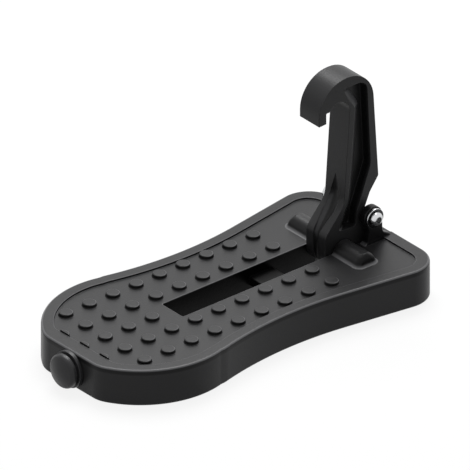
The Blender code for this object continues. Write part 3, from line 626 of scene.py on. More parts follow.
def plain(item, name, angle=32):
    """The item as plain mesh at the origin, with even shading. Its tools are removed."""
    item.data.shade_smooth()
    bpy.context.view_layer.update()
    graph = bpy.context.evaluated_depsgraph_get()
    mesh = bpy.data.meshes.new_from_object(item.evaluated_get(graph), depsgraph=graph)
    mesh.transform(item.matrix_world)
    tidy = bmesh.new()
    tidy.from_mesh(mesh)
    bmesh.ops.remove_doubles(tidy, verts=tidy.verts, dist=1e-6)
    bmesh.ops.dissolve_degenerate(tidy, dist=1e-6, edges=tidy.edges)
    tidy.to_mesh(mesh)
    tidy.free()
    mesh.shade_smooth()
    mesh.set_sharp_from_angle(angle=math.radians(angle))
    for tool in [o for o in bpy.data.objects if o.get("is_tool")]:
        bpy.data.objects.remove(tool, do_unlink=True)
    bpy.data.objects.remove(item, do_unlink=True)
    piece = add_object(name, mesh)
    weigh = piece.modifiers.new("even normals", 'WEIGHTED_NORMAL')
    weigh.keep_sharp = True
    weigh.weight = 80
    return piece


def place_piece(piece, material, slot, body, *nodes):
    """Gives a piece its material and sets it on its body, in place of the frame's own nodes."""
    piece.data.materials.clear()
    piece.data.materials.append(material)
    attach(piece, body)
    if nodes:
        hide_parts(*nodes)


def place_zinc(piece, *nodes):
    """Sets a plated steel piece on the plate's body."""
    place_piece(piece, need("zinc_plating"), "zinc_steel", "plate", *nodes)


def need(name):
    """A material made by the finishes operator."""
    if name not in bpy.data.materials:
        raise RuntimeError(f"Make the finishes first: {name} is missing")
    return bpy.data.materials[name]


class GeometryTree(Graph):
    """A Geometry Nodes tree with named inputs, which are listed by their kind."""

    def __init__(self, name, **inputs):
        super().__init__(bpy.data.node_groups.new(name, 'GeometryNodeTree'))
        sockets = self.tree.interface
        sockets.new_socket("Geometry", in_out='OUTPUT', socket_type='NodeSocketGeometry')
        self.ids = {}
        for kind, labels in inputs.items():
            for label in labels:
                socket = sockets.new_socket(label, in_out='INPUT', socket_type='NodeSocket' + kind)
                self.ids[label] = socket.identifier
        self.given = self.tree.nodes.new("NodeGroupInput")

    def size(self, label):
        """One of the inputs."""
        return Value(self.given.outputs[label], self)

    def end(self, geometry, material):
        """Makes real mesh of the geometry, with its material, as what the tree gives."""
        real = self.node("GeometryNodeRealizeInstances", None, {0: geometry})
        dressed = self.node("GeometryNodeSetMaterial", None,
                            {0: real.outputs[0], "Material": material})
        out = self.tree.nodes.new("NodeGroupOutput")
        self.tree.links.new(dressed.outputs[0], out.inputs[0])

    def grown(self, name, values):
        """A new object that this tree fills, with its inputs set by their identifiers."""
        item = add_object(name, bpy.data.meshes.new(name))
        modifier = item.modifiers.new(name, 'NODES')
        modifier.node_group = self.tree
        for label, given in values.items():
            modifier[self.ids[label]] = given
        return item


# Foot plate

def stud_tree(material):
    """A square grid of studs, left out round the slot and at the plate's corners."""
    tree = GeometryTree("tread studs", Object=["Stud"], Int=["Columns", "Rows"],
                        Float=["Pitch", "First X", "Deck Z", "Slot Start", "Slot Half", "Lobe X",
                               "Lobe Reach"])
    pitch = tree.size("Pitch")
    wide = (tree.size("Columns") - 1.0) * pitch
    deep = (tree.size("Rows") - 1.0) * pitch
    grid = tree.node("GeometryNodeMeshGrid", None,
                     {"Size X": wide, "Size Y": deep, "Vertices X": tree.size("Columns"),
                      "Vertices Y": tree.size("Rows")})
    middle = tree.node("ShaderNodeCombineXYZ", None,
                       {0: tree.size("First X") + wide * 0.5, 2: tree.size("Deck Z")})
    moved = tree.node("GeometryNodeTransform", None,
                      {"Geometry": grid.outputs[0], "Translation": middle.outputs[0]})
    x, y, _ = tree.split(tree.node("GeometryNodeInputPosition").outputs[0])
    near_slot = (x > tree.size("Slot Start")) * (abs(y) < tree.size("Slot Half"))
    back = x - tree.size("Lobe X")
    away = (back * back + y * y) ** 0.5
    at_corner = (x < tree.size("Lobe X")) * (away > tree.size("Lobe Reach"))
    kept = tree.node("GeometryNodeDeleteGeometry", {"domain": 'POINT', "mode": 'ALL'},
                     {"Geometry": moved.outputs[0], "Selection": (near_slot + at_corner) > 0.5})
    stud = tree.node("GeometryNodeObjectInfo", {"transform_space": 'ORIGINAL'},
                     {"Object": tree.size("Stud")})
    placed = tree.node("GeometryNodeInstanceOnPoints", None,
                       {"Points": kept.outputs[0], "Instance": stud.outputs["Geometry"]})
    tree.end(placed.outputs[0], material)
    return tree


def stud_profile(sizes):
    """A stud with a rounded top edge and a small fillet at its foot."""
    r, h, top, foot = sizes.stud_radius, sizes.stud_height, 0.5 * MM, 0.35 * MM
    profile = [(0, h)] + arc((r - top, h - top), top, math.pi / 2, 0.06, 5)
    profile += arc((r + foot + 0.04 * MM, foot), foot, math.pi, 1.42 * math.pi, 3)
    return profile + [(r + foot, -0.4 * MM), (0, -0.4 * MM)]


def deck_outline(sizes, more=0.0):
    """The rim's inner edge, moved inwards by more."""
    return plate_outline(sizes.rim_width + more, RIM_AT_BUMPER + more, RIM_AT_HINGE + more,
                         RIM_CORNER - more)


def plate_body(sizes):
    """Outer wall, rounded edges, raised rim and deck, as one skin through offset outlines."""
    edge, top = sizes.edge_round, sizes.height
    turn = sweep(math.pi / 2, 5)
    path = [(edge - edge * math.sin(a), edge - edge * math.cos(a)) for a in turn]
    path += [(edge - edge * math.cos(a), top - edge + edge * math.sin(a)) for a in turn]
    rings = [[(x, y, z) for x, y in plate_outline(inset, inset, inset, END_CORNER - inset)]
             for inset, z in path]
    fall = top - DECK_Z
    step = [(-0.3, 1.0), (-0.16, 0.97), (-0.06, 0.88), (0.0, 0.7), (0.04, 0.25), (0.1, 0.08),
            (0.25, 0.0)]
    rings += [[(x, y, DECK_Z + fall * share) for x, y in deck_outline(sizes, more * MM)]
              for more, share in step]
    return solid("plate_body", rings)


def pocket_tree(material):
    """Boxes of their own sizes at given points: the pockets between the underside's ribs."""
    tree = GeometryTree("rib pockets", Object=["Places"], Float=["Height"])
    source = tree.node("GeometryNodeObjectInfo", None, {"Object": tree.size("Places")})
    extent = tree.node("GeometryNodeInputNamedAttribute", {"data_type": 'FLOAT_VECTOR'},
                       {"Name": "extent"})
    along, across, _ = tree.split(extent.outputs[0])
    scale = tree.node("ShaderNodeCombineXYZ", None, {0: along, 1: across, 2: tree.size("Height")})
    cube = tree.node("GeometryNodeMeshCube", None, {"Size": (1.0, 1.0, 1.0)})
    placed = tree.node("GeometryNodeInstanceOnPoints", None,
                       {"Points": source.outputs["Geometry"], "Instance": cube.outputs[0],
                        "Scale": scale.outputs[0]})
    tree.end(placed.outputs[0], material)
    return tree


def half_width(outline, x):
    """How far an outline reaches from Y = 0 at x."""
    widest = 0.0
    for (x0, y0), (x1, y1) in zip(outline, outline[1:]):
        if min(x0, x1) <= x <= max(x0, x1) and x0 != x1:
            widest = max(widest, y0 + (y1 - y0) * (x - x0) / (x1 - x0))
    return widest


def pockets(sizes, material):
    """All pockets of the underside as one cutter with rounded corners."""
    cell, across, rib, least = 13.0 * MM, 12.2 * MM, 2.4 * MM, 4.0 * MM
    wall = sizes.wall
    inside = plate_outline(wall, wall, wall, END_CORNER - wall)
    inner = SLOT_HALF + SLOT_WALL
    bands = [(inner, inner + across), (inner + across + rib, LOBE_RADIUS)]
    places = []
    low = BUMPER_END + wall
    while low < HINGE_END - wall - least:
        high = min(low + cell, HINGE_END - wall)
        under_pin = low < HINGE_X + sizes.hump_radius and high > HINGE_X - sizes.hump_radius
        for number, (near, far) in enumerate(bands):
            reach = min(half_width(inside, (low + high) / 2), far)
            if reach - near < least or (under_pin and number == 0):
                continue
            outer = far + wall if number else far
            places += [((low + high) / 2, side * (near + outer) / 2, high - low, outer - near)
                       for side in (-1, 1)]
        if high < SLOT_START - SLOT_WALL:
            places.append(((low + high) / 2, 0.0, high - low, 2 * SLOT_HALF))
        low += cell + rib
    ceiling = DECK_Z - sizes.deck_thickness
    mesh = bpy.data.meshes.new("pocket_points")
    mesh.from_pydata([(x, y, ceiling - FAR / 2) for x, y, _, _ in places], [], [])
    extent = mesh.attributes.new("extent", 'FLOAT_VECTOR', 'POINT')
    for i, (_, _, along, wide) in enumerate(places):
        extent.data[i].vector = (along, wide, 1.0)
    points = add_object("pocket_points", mesh)
    points["is_tool"] = True
    item = pocket_tree(material).grown("pockets", {"Places": points, "Height": FAR})
    combine(item, prism("pocket_trim", inside, -2 * FAR, DECK_Z), 'INTERSECT')
    return soften(item, 0.9 * MM, 3, 50)


def pin_housing(sizes):
    """Half-round housing over the hinge pin, with a concave foot and drafted, rounded ends."""
    r, foot, sink = sizes.hump_radius, 1.8 * MM, 0.04 * MM
    outer, draft, corner = 22.0 * MM, 2.0 * MM, 2.0 * MM
    reach = math.sqrt((r + foot) ** 2 - foot ** 2)
    lean = math.atan2(foot, reach)
    profile = [(reach, -2 * MM)] + arc((reach, foot), foot, 1.5 * math.pi, math.pi + lean, 8)
    profile += arc((0, 0), r, lean, math.radians(86), 16)[1:]
    rings = []
    for across, up in profile:
        further = max(across - r, 0) - draft * max(1 - across / r, 0)
        turn = min(corner + max(further, 0), 0.9 * across)
        slab = rounded_slab(HINGE_X - across, HINGE_X + across, outer + further, turn,
                            math.radians(10))
        rings.append([(x, y, DECK_Z - sink + up) for x, y in slab])
    return solid("pin_housing", rings)


def ear(side, sizes):
    """One lug of the stop bolt, necked in front, with the gusset behind it."""
    r, low = sizes.ear_radius, DECK_Z - 2 * MM
    top = STOP_Z + r
    end = HINGE_END - sizes.edge_round
    corners = [(STOP_X - 4.4 * MM, low, 0), (end, low, 0), (end, DECK_Z + 0.45 * MM, 0),
               (STOP_X + r + 0.5 * MM, DECK_Z + 3.6 * MM, 2.5 * MM), (STOP_X + r, top, r * 0.97),
               (STOP_X - r, top, r * 0.97), (STOP_X - r, STOP_Z - 1.4 * MM, 2.5 * MM),
               (STOP_X - 2.0 * MM, STOP_Z - 5.6 * MM, 6.0 * MM),
               (STOP_X - 3.0 * MM, DECK_Z + 1.0 * MM, 1.4 * MM),
               (STOP_X - 4.4 * MM, DECK_Z - 0.1 * MM, 0)]
    ends = sorted((side * EAR_INNER, side * EAR_OUTER))
    return soften(prism("ear", rounded(corners), *ends, upright=True), 0.5 * MM, 4)


def slot_cutter():
    """The slot, flaring at the deck so that its edge is rounded."""
    edge, corner = 0.4 * MM, 0.8 * MM
    path = [(edge * 1.1, DECK_Z + FAR)]
    path += [(edge * (1 - math.sin(a)), DECK_Z - edge * (1 - math.cos(a)) + 0.01 * MM)
             for a in sweep(math.pi / 2, 4)]
    path.append((0.0, -FAR))
    return solid("slot", [
        [(x, y, z) for x, y in rounded_slab(SLOT_START - more, SLOT_END + more, SLOT_HALF + more,
                                            corner)]
        for more, z in path])


def foot_plate(sizes, material):
    """The casting: body, pockets, housing, ears, slot and bridge, with its bores."""
    plate = plate_body(sizes)
    saddle_half = 8.6 * MM
    saddle = box("saddle", (HINGE_END - RIM_AT_HINGE - sizes.edge_round, -saddle_half, DECK_Z),
                 (HINGE_END + FAR, saddle_half, DECK_Z + FAR))
    combine(plate, saddle, 'DIFFERENCE')
    combine(plate, pockets(sizes, material), 'DIFFERENCE')
    combine(plate, pin_housing(sizes), 'UNION')
    for side in (-1, 1):
        combine(plate, ear(side, sizes), 'UNION')
    combine(plate, slot_cutter(), 'DIFFERENCE')
    into_wall = SLOT_HALF + SLOT_WALL / 2
    bridge = box("bridge", (BRIDGE_X - BRIDGE_HALF, -into_wall, BRIDGE_TOP - 4 * MM),
                 (BRIDGE_X + BRIDGE_HALF, into_wall, BRIDGE_TOP), 0.8 * MM)
    combine(plate, bridge, 'UNION')
    radius = PIN_RADIUS + SEAT_GAP
    seat = [(HINGE_X + radius, -FAR), *arc((HINGE_X, HINGE_Z), radius, 0, math.pi, 20),
            (HINGE_X - radius, -FAR)]
    combine(plate, prism("pin_seat", seat, -PIN_SEAT_HALF, PIN_SEAT_HALF, upright=True),
            'DIFFERENCE')
    for name, bore, steps, place in (
            ("bolt_bore", rod(BOLT_RADIUS + SEAT_GAP, FAR), 40, along_y(STOP_X, 0, STOP_Z)),
            ("screw_bore", rod(SCREW_BORE, WALL), 32, along_x(BUMPER_END, 0, BUMPER_Z))):
        combine(plate, turned(name, bore, steps, place), 'DIFFERENCE')
    return plain(plate, "foot_plate")


def tread_studs(sizes, material):
    """All studs as one piece, trimmed by the rim's inner edge."""
    stud = turned("stud", stud_profile(sizes), 36, Matrix.Identity(4))
    stud["is_tool"] = True
    item = stud_tree(material).grown("studs", {
        "Stud": stud, "Pitch": sizes.stud_pitch, "Columns": 10, "Rows": 5,
        "First X": BUMPER_END + 5.6 * MM, "Deck Z": DECK_Z, "Slot Start": SLOT_START - 3 * MM,
        "Slot Half": SLOT_HALF + sizes.stud_radius, "Lobe X": LOBE_X,
        "Lobe Reach": LOBE_RADIUS - sizes.rim_width})
    trim = prism("stud_trim", deck_outline(sizes, 0.05 * MM), DECK_Z - FAR, DECK_Z + FAR)
    combine(item, trim, 'INTERSECT')
    return plain(item, "tread_studs")


# Hook

def stop_seat():
    """Angle and nearest and farthest reach of the flat that meets the stop bolt."""
    back, up = STOP_X - HINGE_X, STOP_Z - HINGE_Z
    reach = math.hypot(back, up)
    angle = math.atan2(up, back) + math.asin((BOLT_RADIUS + SEAT_GAP) / reach)
    return angle, reach - BOLT_RADIUS - SEAT_GAP, reach + BOLT_RADIUS


def hook_outline(sizes):
    """The hook seen from its side, measured from the hinge pin."""
    angle, heel, reach = stop_seat()
    nose, hub, r = -11.1 * MM, 7.9 * MM, sizes.throat_radius
    throat = (-1.1 * MM, 60.2 * MM)
    tip_end, lip = throat[1] - 1.8 * MM, 2.8 * MM
    inner, soft = nose + sizes.tip_thickness, 0.5 * MM
    corners = [(nose, tip_end, 1.0 * MM), (nose, sizes.top, 13.6 * MM),
               (15.65 * MM, sizes.top, 13.3 * MM), (18.85 * MM, 26.2 * MM, 1.2 * MM),
               (14.5 * MM, 20.3 * MM, 2.0 * MM),
               (reach * math.cos(angle), reach * math.sin(angle), 0.6 * MM),
               (heel * math.cos(angle), heel * math.sin(angle), 0)]
    outline = rounded(corners)
    outline += arc((0, 0), heel, angle, math.radians(-8), 18)[1:]
    outline += arc((0, 0), hub, math.radians(-50), -math.pi, 24)
    front = rounded([(-hub, 0, 0), (-hub, 8.2 * MM, 5.0 * MM), (1.5 * MM, 19.0 * MM, 9.0 * MM),
                     (throat[0] + r, throat[1], 0), (15.3 * MM, 0, 0)])
    outline += front[1:-2]
    outline += arc(throat, r, 0, math.pi - math.asin(lip / r), 32)
    outline += arc((inner + soft, throat[1] + lip - soft), soft, math.pi / 2, math.pi, 4)
    outline.append((inner, tip_end))
    return outline


def x_at(line, z):
    """X of a line of points (x, z) at a height."""
    for (x0, z0), (x1, z1) in zip(line, line[1:]):
        if z <= z1:
            return x0 + (x1 - x0) * max(0.0, (z - z0) / (z1 - z0))
    return line[-1][0]


def recess_cutter(side, sizes):
    """The pocket in one side of the hook: steep at its back, with a long soft slope in front.

    Its outline and the lines of its front and back are in millimetres from the hinge pin.
    """
    front = [(-0.5, 8.0), (4.2, 19.0), (6.1, 34.0), (8.1, 60.2), (1.8, 70.8)]
    back = [(7.3, 7.6), (8.25, 14.7), (15.0, 32.6), (13.1, 70.8)]
    outline = rounded([(-0.5, 8.4, 1.2), (7.3, 7.6, 1.5), (8.25, 14.7, 4.0), (15.0, 32.6, 8.0),
                       (13.1, 70.8, 4.5), (1.8, 70.8, 1.4), (8.1, 60.2, 3.0), (6.1, 34.0, 10.0),
                       (4.2, 19.0, 8.0)])
    slope, ahead, bend = 4.6, 1.3, 1.8
    floor_round, floor_share = 0.25, 0.25
    foot_end, top_end, end_fall = 20.0, 62.0, 8.0
    steps = 12
    surface, depth = sizes.thickness / 2, sizes.recess_depth
    rings = []
    for step in range(-1, steps + 1):
        share = max(0, step) / steps
        level = surface + 3 * MM if step < 0 else surface - depth * share
        shift = slope * (1.0 - (1.0 - share) ** bend) - ahead
        shrink = floor_round * (max(0.0, share - 1.0 + floor_share) / floor_share) ** 2
        ring = []
        for x, z in outline:
            low, high = x_at(front, z), x_at(back, z)
            weight = min(1.0, max(0.0, (high - x) / max(high - low, 0.1)))
            inwards = max(0.0, foot_end - z) + min(0.0, top_end - z)
            ring.append(((x + shift * weight - shrink * (1 - weight)) * MM, side * level,
                         (z + shrink * min(1.0, max(-1.0, inwards / end_fall))) * MM))
        rings.append(ring)
    return solid("recess", rings)


def groove_cutter():
    """The tapering groove down the front of the hook's foot.

    Its route has X and Z in millimetres from the hinge pin, then its depth and half its width.
    """
    route = [(1.95, 31.0, 0.42, 0.4), (1.6, 27.5, 1.0, 1.3), (1.35, 24.0, 1.6, 2.3),
             (0.6, 20.5, 2.2, 3.3), (-2.0, 15.8, 2.4, 3.1), (-5.4, 11.9, 2.2, 2.3),
             (-8.1, 8.0, 2.0, 1.7), (-8.4, 3.5, 1.9, 1.5), (-8.2, -2.3, 1.8, 1.4),
             (-7.6, -8.0, 1.8, 1.4)]
    rings = []
    for i, (x, z, deep, wide) in enumerate(route):
        before, after = route[max(i - 1, 0)], route[min(i + 1, len(route) - 1)]
        heading = Vector((after[0] - before[0], 0, after[1] - before[1])).normalized()
        inwards = Vector((heading.z, 0, -heading.x))
        rings.append([(Vector((x, 0, z)) + inwards * deep * a + Vector((0, wide * b, 0))) * MM
                      for a, b in circle(1.0, 24)])
    return solid("groove", rings)


def hook_arm(sizes):
    """The hook with its pockets, groove and bore, made at the hinge pin and then put in place."""
    half = sizes.thickness / 2
    place = Matrix.Translation((HINGE_X, 0, HINGE_Z))
    arm = prism("hook", hook_outline(sizes), -half, half, upright=True)
    soften(arm, sizes.edge_round, 4, 50)
    for side in (-1, 1):
        combine(arm, recess_cutter(side, sizes), 'DIFFERENCE')
    combine(arm, groove_cutter(), 'DIFFERENCE')
    combine(arm, turned("hinge_bore", rod(PIN_RADIUS + SEAT_GAP, FAR), 40, along_y(0, 0, 0)),
            'DIFFERENCE')
    for tool in bpy.data.objects:
        if tool.get("is_tool"):
            tool.matrix_world = place
    arm.matrix_world = place
    return plain(arm, "hook")


# Pins, bolt, nut and washers

def flat_ring(name, hole, radius, thickness, edge, steps, place):
    """A washer or the nut's nylon ring, with rounded edges."""
    section = rounded([(hole, thickness, edge / 2), (radius, thickness, edge), (radius, 0, edge),
                       (hole, 0, edge / 2)], math.radians(22.5))
    return plain(turned("ring", section, steps, place), name)


def shaft_profile(top, bottom, radius, chamfer):
    """A pin's section from its top down, with chamfered ends."""
    return [(0, top), (radius - chamfer, top), (radius, top - chamfer),
            (radius, bottom + chamfer), (radius - chamfer, bottom), (0, bottom)]


def thread_tree(material):
    """A screw thread: a three-cornered section along a helix."""
    tree = GeometryTree("thread", Float=["Radius", "Pitch", "Turns"])
    pitch, turns = tree.size("Pitch"), tree.size("Turns")
    helix = tree.node("GeometryNodeCurveSpiral", None,
                      {"Resolution": 32, "Rotations": turns, "Start Radius": tree.size("Radius"),
                       "End Radius": tree.size("Radius"), "Height": pitch * turns})
    section = tree.node("GeometryNodeCurvePrimitiveCircle", {"mode": 'RADIUS'},
                        {"Resolution": 3, "Radius": pitch * 0.5})
    swept = tree.node("GeometryNodeCurveToMesh", None,
                      {"Curve": helix.outputs[0], "Profile Curve": section.outputs[0],
                       "Fill Caps": True})
    tree.end(swept.outputs[0], material)
    return tree


def stop_bolt(sizes):
    """Button-head bolt with a hexagon socket."""
    head, r, socket = 1.7 * MM, sizes.head_radius, 1.4 * MM
    crown = math.acos((socket + 0.3 * MM) / r)
    profile = [(0, SEAT + head)]
    profile += [(r * math.cos(a), SEAT + head * math.sin(a) / math.sin(crown))
                for a in reversed(sweep(crown, 10, 2))]
    profile += [(r, SEAT + 0.2 * MM), (r - 0.2 * MM, SEAT), (sizes.bolt_radius, SEAT)]
    profile += shaft_profile(SEAT, -BOLT_END, sizes.bolt_radius, 0.5 * MM)[-3:]
    bolt = turned("bolt", profile, 64, along_y(STOP_X, 0, STOP_Z))
    key = prism("key", circle(socket, 6, (STOP_X, STOP_Z)), -SEAT - head - 3 * MM,
                1.0 * MM - SEAT - head, upright=True)
    combine(bolt, key, 'DIFFERENCE')
    return plain(bolt, "stop_bolt_fine")


def bolt_thread(sizes, material):
    """The bolt's thread, where it stands past the nut."""
    item = thread_tree(material).grown("thread", {
        "Radius": sizes.bolt_radius - 0.22 * MM, "Pitch": sizes.pitch * 0.7, "Turns": 1.0})
    item.matrix_world = along_y(STOP_X, BOLT_END - 0.35 * MM, STOP_Z)
    return plain(item, "bolt_thread", 20)


def lock_nut(sizes):
    """Hexagon nut with chamfered corners and a domed collar for its nylon ring."""
    corner, flats = sizes.nut_flats / math.sqrt(3), sizes.nut_flats / 2
    place = along_y(STOP_X, 0, STOP_Z)
    nut = prism("nut", circle(corner, 6, (STOP_X, STOP_Z)), NUT_LOW, NUT_HIGH, upright=True)
    wide, chamfer = corner * 1.01, 0.35 * MM
    cone = [(0, -NUT_LOW), (flats * 1.02, -NUT_LOW), (wide, -NUT_LOW - chamfer),
            (wide, -NUT_HIGH + chamfer), (flats, -NUT_HIGH), (0, -NUT_HIGH)]
    combine(nut, turned("nut_cone", cone, 72, place), 'INTERSECT')
    wide = flats - 0.3 * MM
    collar = [(0, -NUT_HIGH + 0.5 * MM), (wide, -NUT_HIGH + 0.5 * MM), (wide, -NUT_HIGH - 0.9 * MM),
              (wide - 0.08 * MM, -NUT_HIGH - 1.3 * MM), (wide - 0.2 * MM, -NUT_TOP + 0.08 * MM),
              (wide - 0.3 * MM, -NUT_TOP), (0, -NUT_TOP)]
    combine(nut, turned("collar", collar, 64, place), 'UNION')
    bore, pocket, floor = sizes.bolt_radius + SEAT_GAP, 2.85 * MM, -NUT_TOP + 1.4 * MM
    stepped = [(0, FAR), (bore, FAR), (bore, floor), (pocket, floor), (pocket, -FAR), (0, -FAR)]
    combine(nut, turned("nut_bore", stepped, 64, place), 'DIFFERENCE')
    return plain(nut, "lock_nut_fine")


# End bumper

def bumper(sizes):
    """Rubber buffer: collar, groove and crowned head, blind bore for its screw."""
    r, top, crown = sizes.radius, sizes.reach, 2.3 * MM
    dome_edge, dome_fall = r * 0.8, crown * 0.45
    dome = (dome_edge ** 2 + dome_fall ** 2) / (2 * dome_fall)
    profile = [(dome * math.sin(a), top - dome * (1 - math.cos(a)))
               for a in sweep(math.asin(dome_edge / dome), 8)]
    x, z = profile[-1]
    profile += [(x + (r - x) * math.sin(a),
                 z - (crown - top + z) * (1 - math.cos(a)) - 0.5 * MM * math.sin(a) ** 2)
                for a in sweep(math.pi / 2, 6, 1)]
    neck, collar_top = 6.3 * MM, 1.5 * MM
    profile += [(r, 2.6 * MM), (r - 0.15 * MM, 2.42 * MM), (neck, 2.3 * MM), (neck, collar_top)]
    wide = sizes.collar
    profile += [(wide - 0.35 * MM, collar_top), (wide - 0.1 * MM, 1.4 * MM), (wide, 1.15 * MM),
                (wide, 0), (SCREW_BORE, 0), (SCREW_BORE, BUMPER_BORE), (0, BUMPER_BORE)]
    item = turned("bumper", profile, 96, along_x(BUMPER_END - SEAT_GAP, 0, BUMPER_Z))
    return plain(item, "end_bumper_fine")


def bumper_screw():
    """Pan-head screw with a cross recess, from inside the plate."""
    seat = BUMPER_END + WALL + 2 * SEAT_GAP + SCREW_WASHER
    reach = seat - BUMPER_END + BUMPER_BORE - 2 * SEAT_GAP
    tip = 0.4 * MM
    profile = [(0, reach), (SCREW_RADIUS - tip, reach), (SCREW_RADIUS, reach - tip),
               (SCREW_RADIUS, 0), (3.3 * MM, 0), (3.5 * MM, -0.2 * MM), (3.5 * MM, -1.2 * MM),
               (3.3 * MM, -1.75 * MM), (2.7 * MM, -2.2 * MM), (1.8 * MM, -2.4 * MM),
               (0, -2.4 * MM)]
    place = along_x(seat, 0, BUMPER_Z)
    screw = turned("screw", profile, 48, place)
    long, thin = 3.6 * MM, 0.8 * MM
    for wide, high in ((long, thin), (thin, long)):
        arm = box("cross", (-high / 2, -wide / 2, -4 * MM), (high / 2, wide / 2, -1.0 * MM))
        arm.data.transform(place)
        combine(screw, arm, 'DIFFERENCE')
    return plain(screw, "bumper_screw_fine")


# Stage

def empty_graph(owner):
    """The node tree of a new material or world, without its first nodes."""
    owner.use_nodes = True
    owner.node_tree.nodes.clear()
    return Graph(owner.node_tree)


def sees_backdrop(look, path):
    """1 for the camera's rays and for those in reflections and behind glass."""
    rays = ("Is Camera Ray", "Is Glossy Ray", "Is Transmission Ray")
    seen, mirrored, through = (Value(path.outputs[ray], look) for ray in rays)
    return (seen + mirrored + through).within(0.0, 1.0)


def stage_floor(colours):
    """A wide floor: white to the camera and in reflections, with the object's faint shadow."""
    reach, glowing = 6.0, 0.86
    mesh = bpy.data.meshes.new("floor")
    corners = [(-reach, -reach, 0), (reach, -reach, 0), (reach, reach, 0), (-reach, reach, 0)]
    mesh.from_pydata(corners, [], [(0, 1, 2, 3)])
    floor = add_object("floor", mesh)
    material = bpy.data.materials.new("floor")
    look = empty_graph(material)
    white = (*colours.floor, 1.0)
    dim = (*(c * colours.bounce for c in colours.floor), 1.0)
    path = look.node("ShaderNodeLightPath")
    glow = look.node("ShaderNodeEmission", None, {"Color": white, "Strength": 1.0})
    shade = look.node("ShaderNodeMix", {"data_type": 'RGBA'},
                      {0: path.outputs["Is Camera Ray"], 6: dim, 7: white})
    matt = look.node("ShaderNodeBsdfDiffuse", None, {"Color": shade.outputs[2]})
    lit = look.node("ShaderNodeMixShader", None,
                    {0: sees_backdrop(look, path) * glowing, 1: matt.outputs[0],
                     2: glow.outputs[0]})
    clear = look.node("ShaderNodeBsdfTransparent")
    under = look.node("ShaderNodeNewGeometry").outputs["Backfacing"]
    both = look.node("ShaderNodeMixShader", None,
                     {0: under, 1: lit.outputs[0], 2: clear.outputs[0]})
    look.node("ShaderNodeOutputMaterial", None, {0: both.outputs[0]})
    mesh.materials.append(material)


def stage_sky(colours):
    """Even light, and a white backdrop to the camera and in reflections."""
    world = bpy.data.worlds.new("sky")
    look = empty_graph(world)
    white = (*colours.floor, 1.0)
    seen = sees_backdrop(look, look.node("ShaderNodeLightPath"))
    even, bright = (look.node("ShaderNodeBackground", None, {"Color": white, "Strength": level})
                    for level in (colours.sky, 1.0))
    both = look.node("ShaderNodeMixShader", None,
                     {0: seen, 1: even.outputs[0], 2: bright.outputs[0]})
    look.node("ShaderNodeOutputWorld", None, {0: both.outputs[0]})
    bpy.context.scene.world = world


def stage_light(colours):
    """One soft box, high behind the object's far side, turned to the part's origin."""
    place = Vector((0.34, 0.40, 1.0))
    light = bpy.data.lights.new("top_light", 'AREA')
    light.shape = 'RECTANGLE'
    light.size = light.size_y = 0.7
    light.energy = colours.key
    item = add_object("top_light", light)
    item.location = place
    item.rotation_euler = (-place).to_track_quat('-Z', 'Y').to_euler()


def stage_camera():
    """The photograph's own view, on the part from the left and above."""
    back = Vector((math.sin(AZIMUTH) * math.cos(ELEVATION),
                   -math.cos(AZIMUTH) * math.cos(ELEVATION), math.sin(ELEVATION)))
    lens = bpy.data.cameras.new("camera")
    lens.type = 'ORTHO'
    lens.ortho_scale = PICTURE_WIDTH / PIXELS_PER_MM * MM
    lens.clip_start, lens.clip_end = 0.01, 20.0
    camera = add_object("camera", lens)
    camera.location = PICTURE_MIDDLE + back * 0.6
    camera.rotation_mode = 'QUATERNION'
    camera.rotation_quaternion = (-back).to_track_quat('-Z', 'Y')
    bpy.context.scene.camera = camera


# Operators

class StepOperator:
    """What the operators share."""
    bl_options = {'REGISTER'}


class LATCHSTEP_OT_finishes(StepOperator, bpy.types.Operator):
    """Make the finishes of all pieces"""
    bl_idname = "latchstep.finishes"
    bl_label = "Finishes"

    def execute(self, context):
        colours = context.scene.latch_colours
        satin_paint("plate_paint", colours.paint, 0.36, plate_shade, shade_metallic=0.65)
        satin_paint("stud_paint", colours.paint, 0.36, stud_shade)
        satin_paint("hook_paint", colours.hook_paint, 0.38, hook_shade)
        plated_steel("zinc_plating", colours.zinc)
        black_rubber("bumper_rubber", colours.rubber)
        moulded_nylon("ring_nylon", colours.nylon)
        return {'FINISHED'}


class LATCHSTEP_OT_foot_plate(StepOperator, bpy.types.Operator):
    """Make the cast foot plate"""
    bl_idname = "latchstep.foot_plate"
    bl_label = "Foot plate"

    def execute(self, context):
        paint = need("plate_paint")
        piece = foot_plate(context.scene.latch_plate, paint)
        place_piece(piece, paint, "painted_casting", "plate", "step_plate")
        return {'FINISHED'}


class LATCHSTEP_OT_tread_studs(StepOperator, bpy.types.Operator):
    """Make the studs of the tread"""
    bl_idname = "latchstep.tread_studs"
    bl_label = "Tread studs"

    def execute(self, context):
        paint = need("stud_paint")
        piece = tread_studs(context.scene.latch_plate, paint)
        place_piece(piece, paint, "painted_casting", "plate")
        return {'FINISHED'}


class LATCHSTEP_OT_hook(StepOperator, bpy.types.Operator):
    """Make the folding hook"""
    bl_idname = "latchstep.hook"
    bl_label = "Hook"

    def execute(self, context):
        piece = hook_arm(context.scene.latch_hook)
        place_piece(piece, need("hook_paint"), "painted_hook", "hook", "hook_arm")
        return {'FINISHED'}


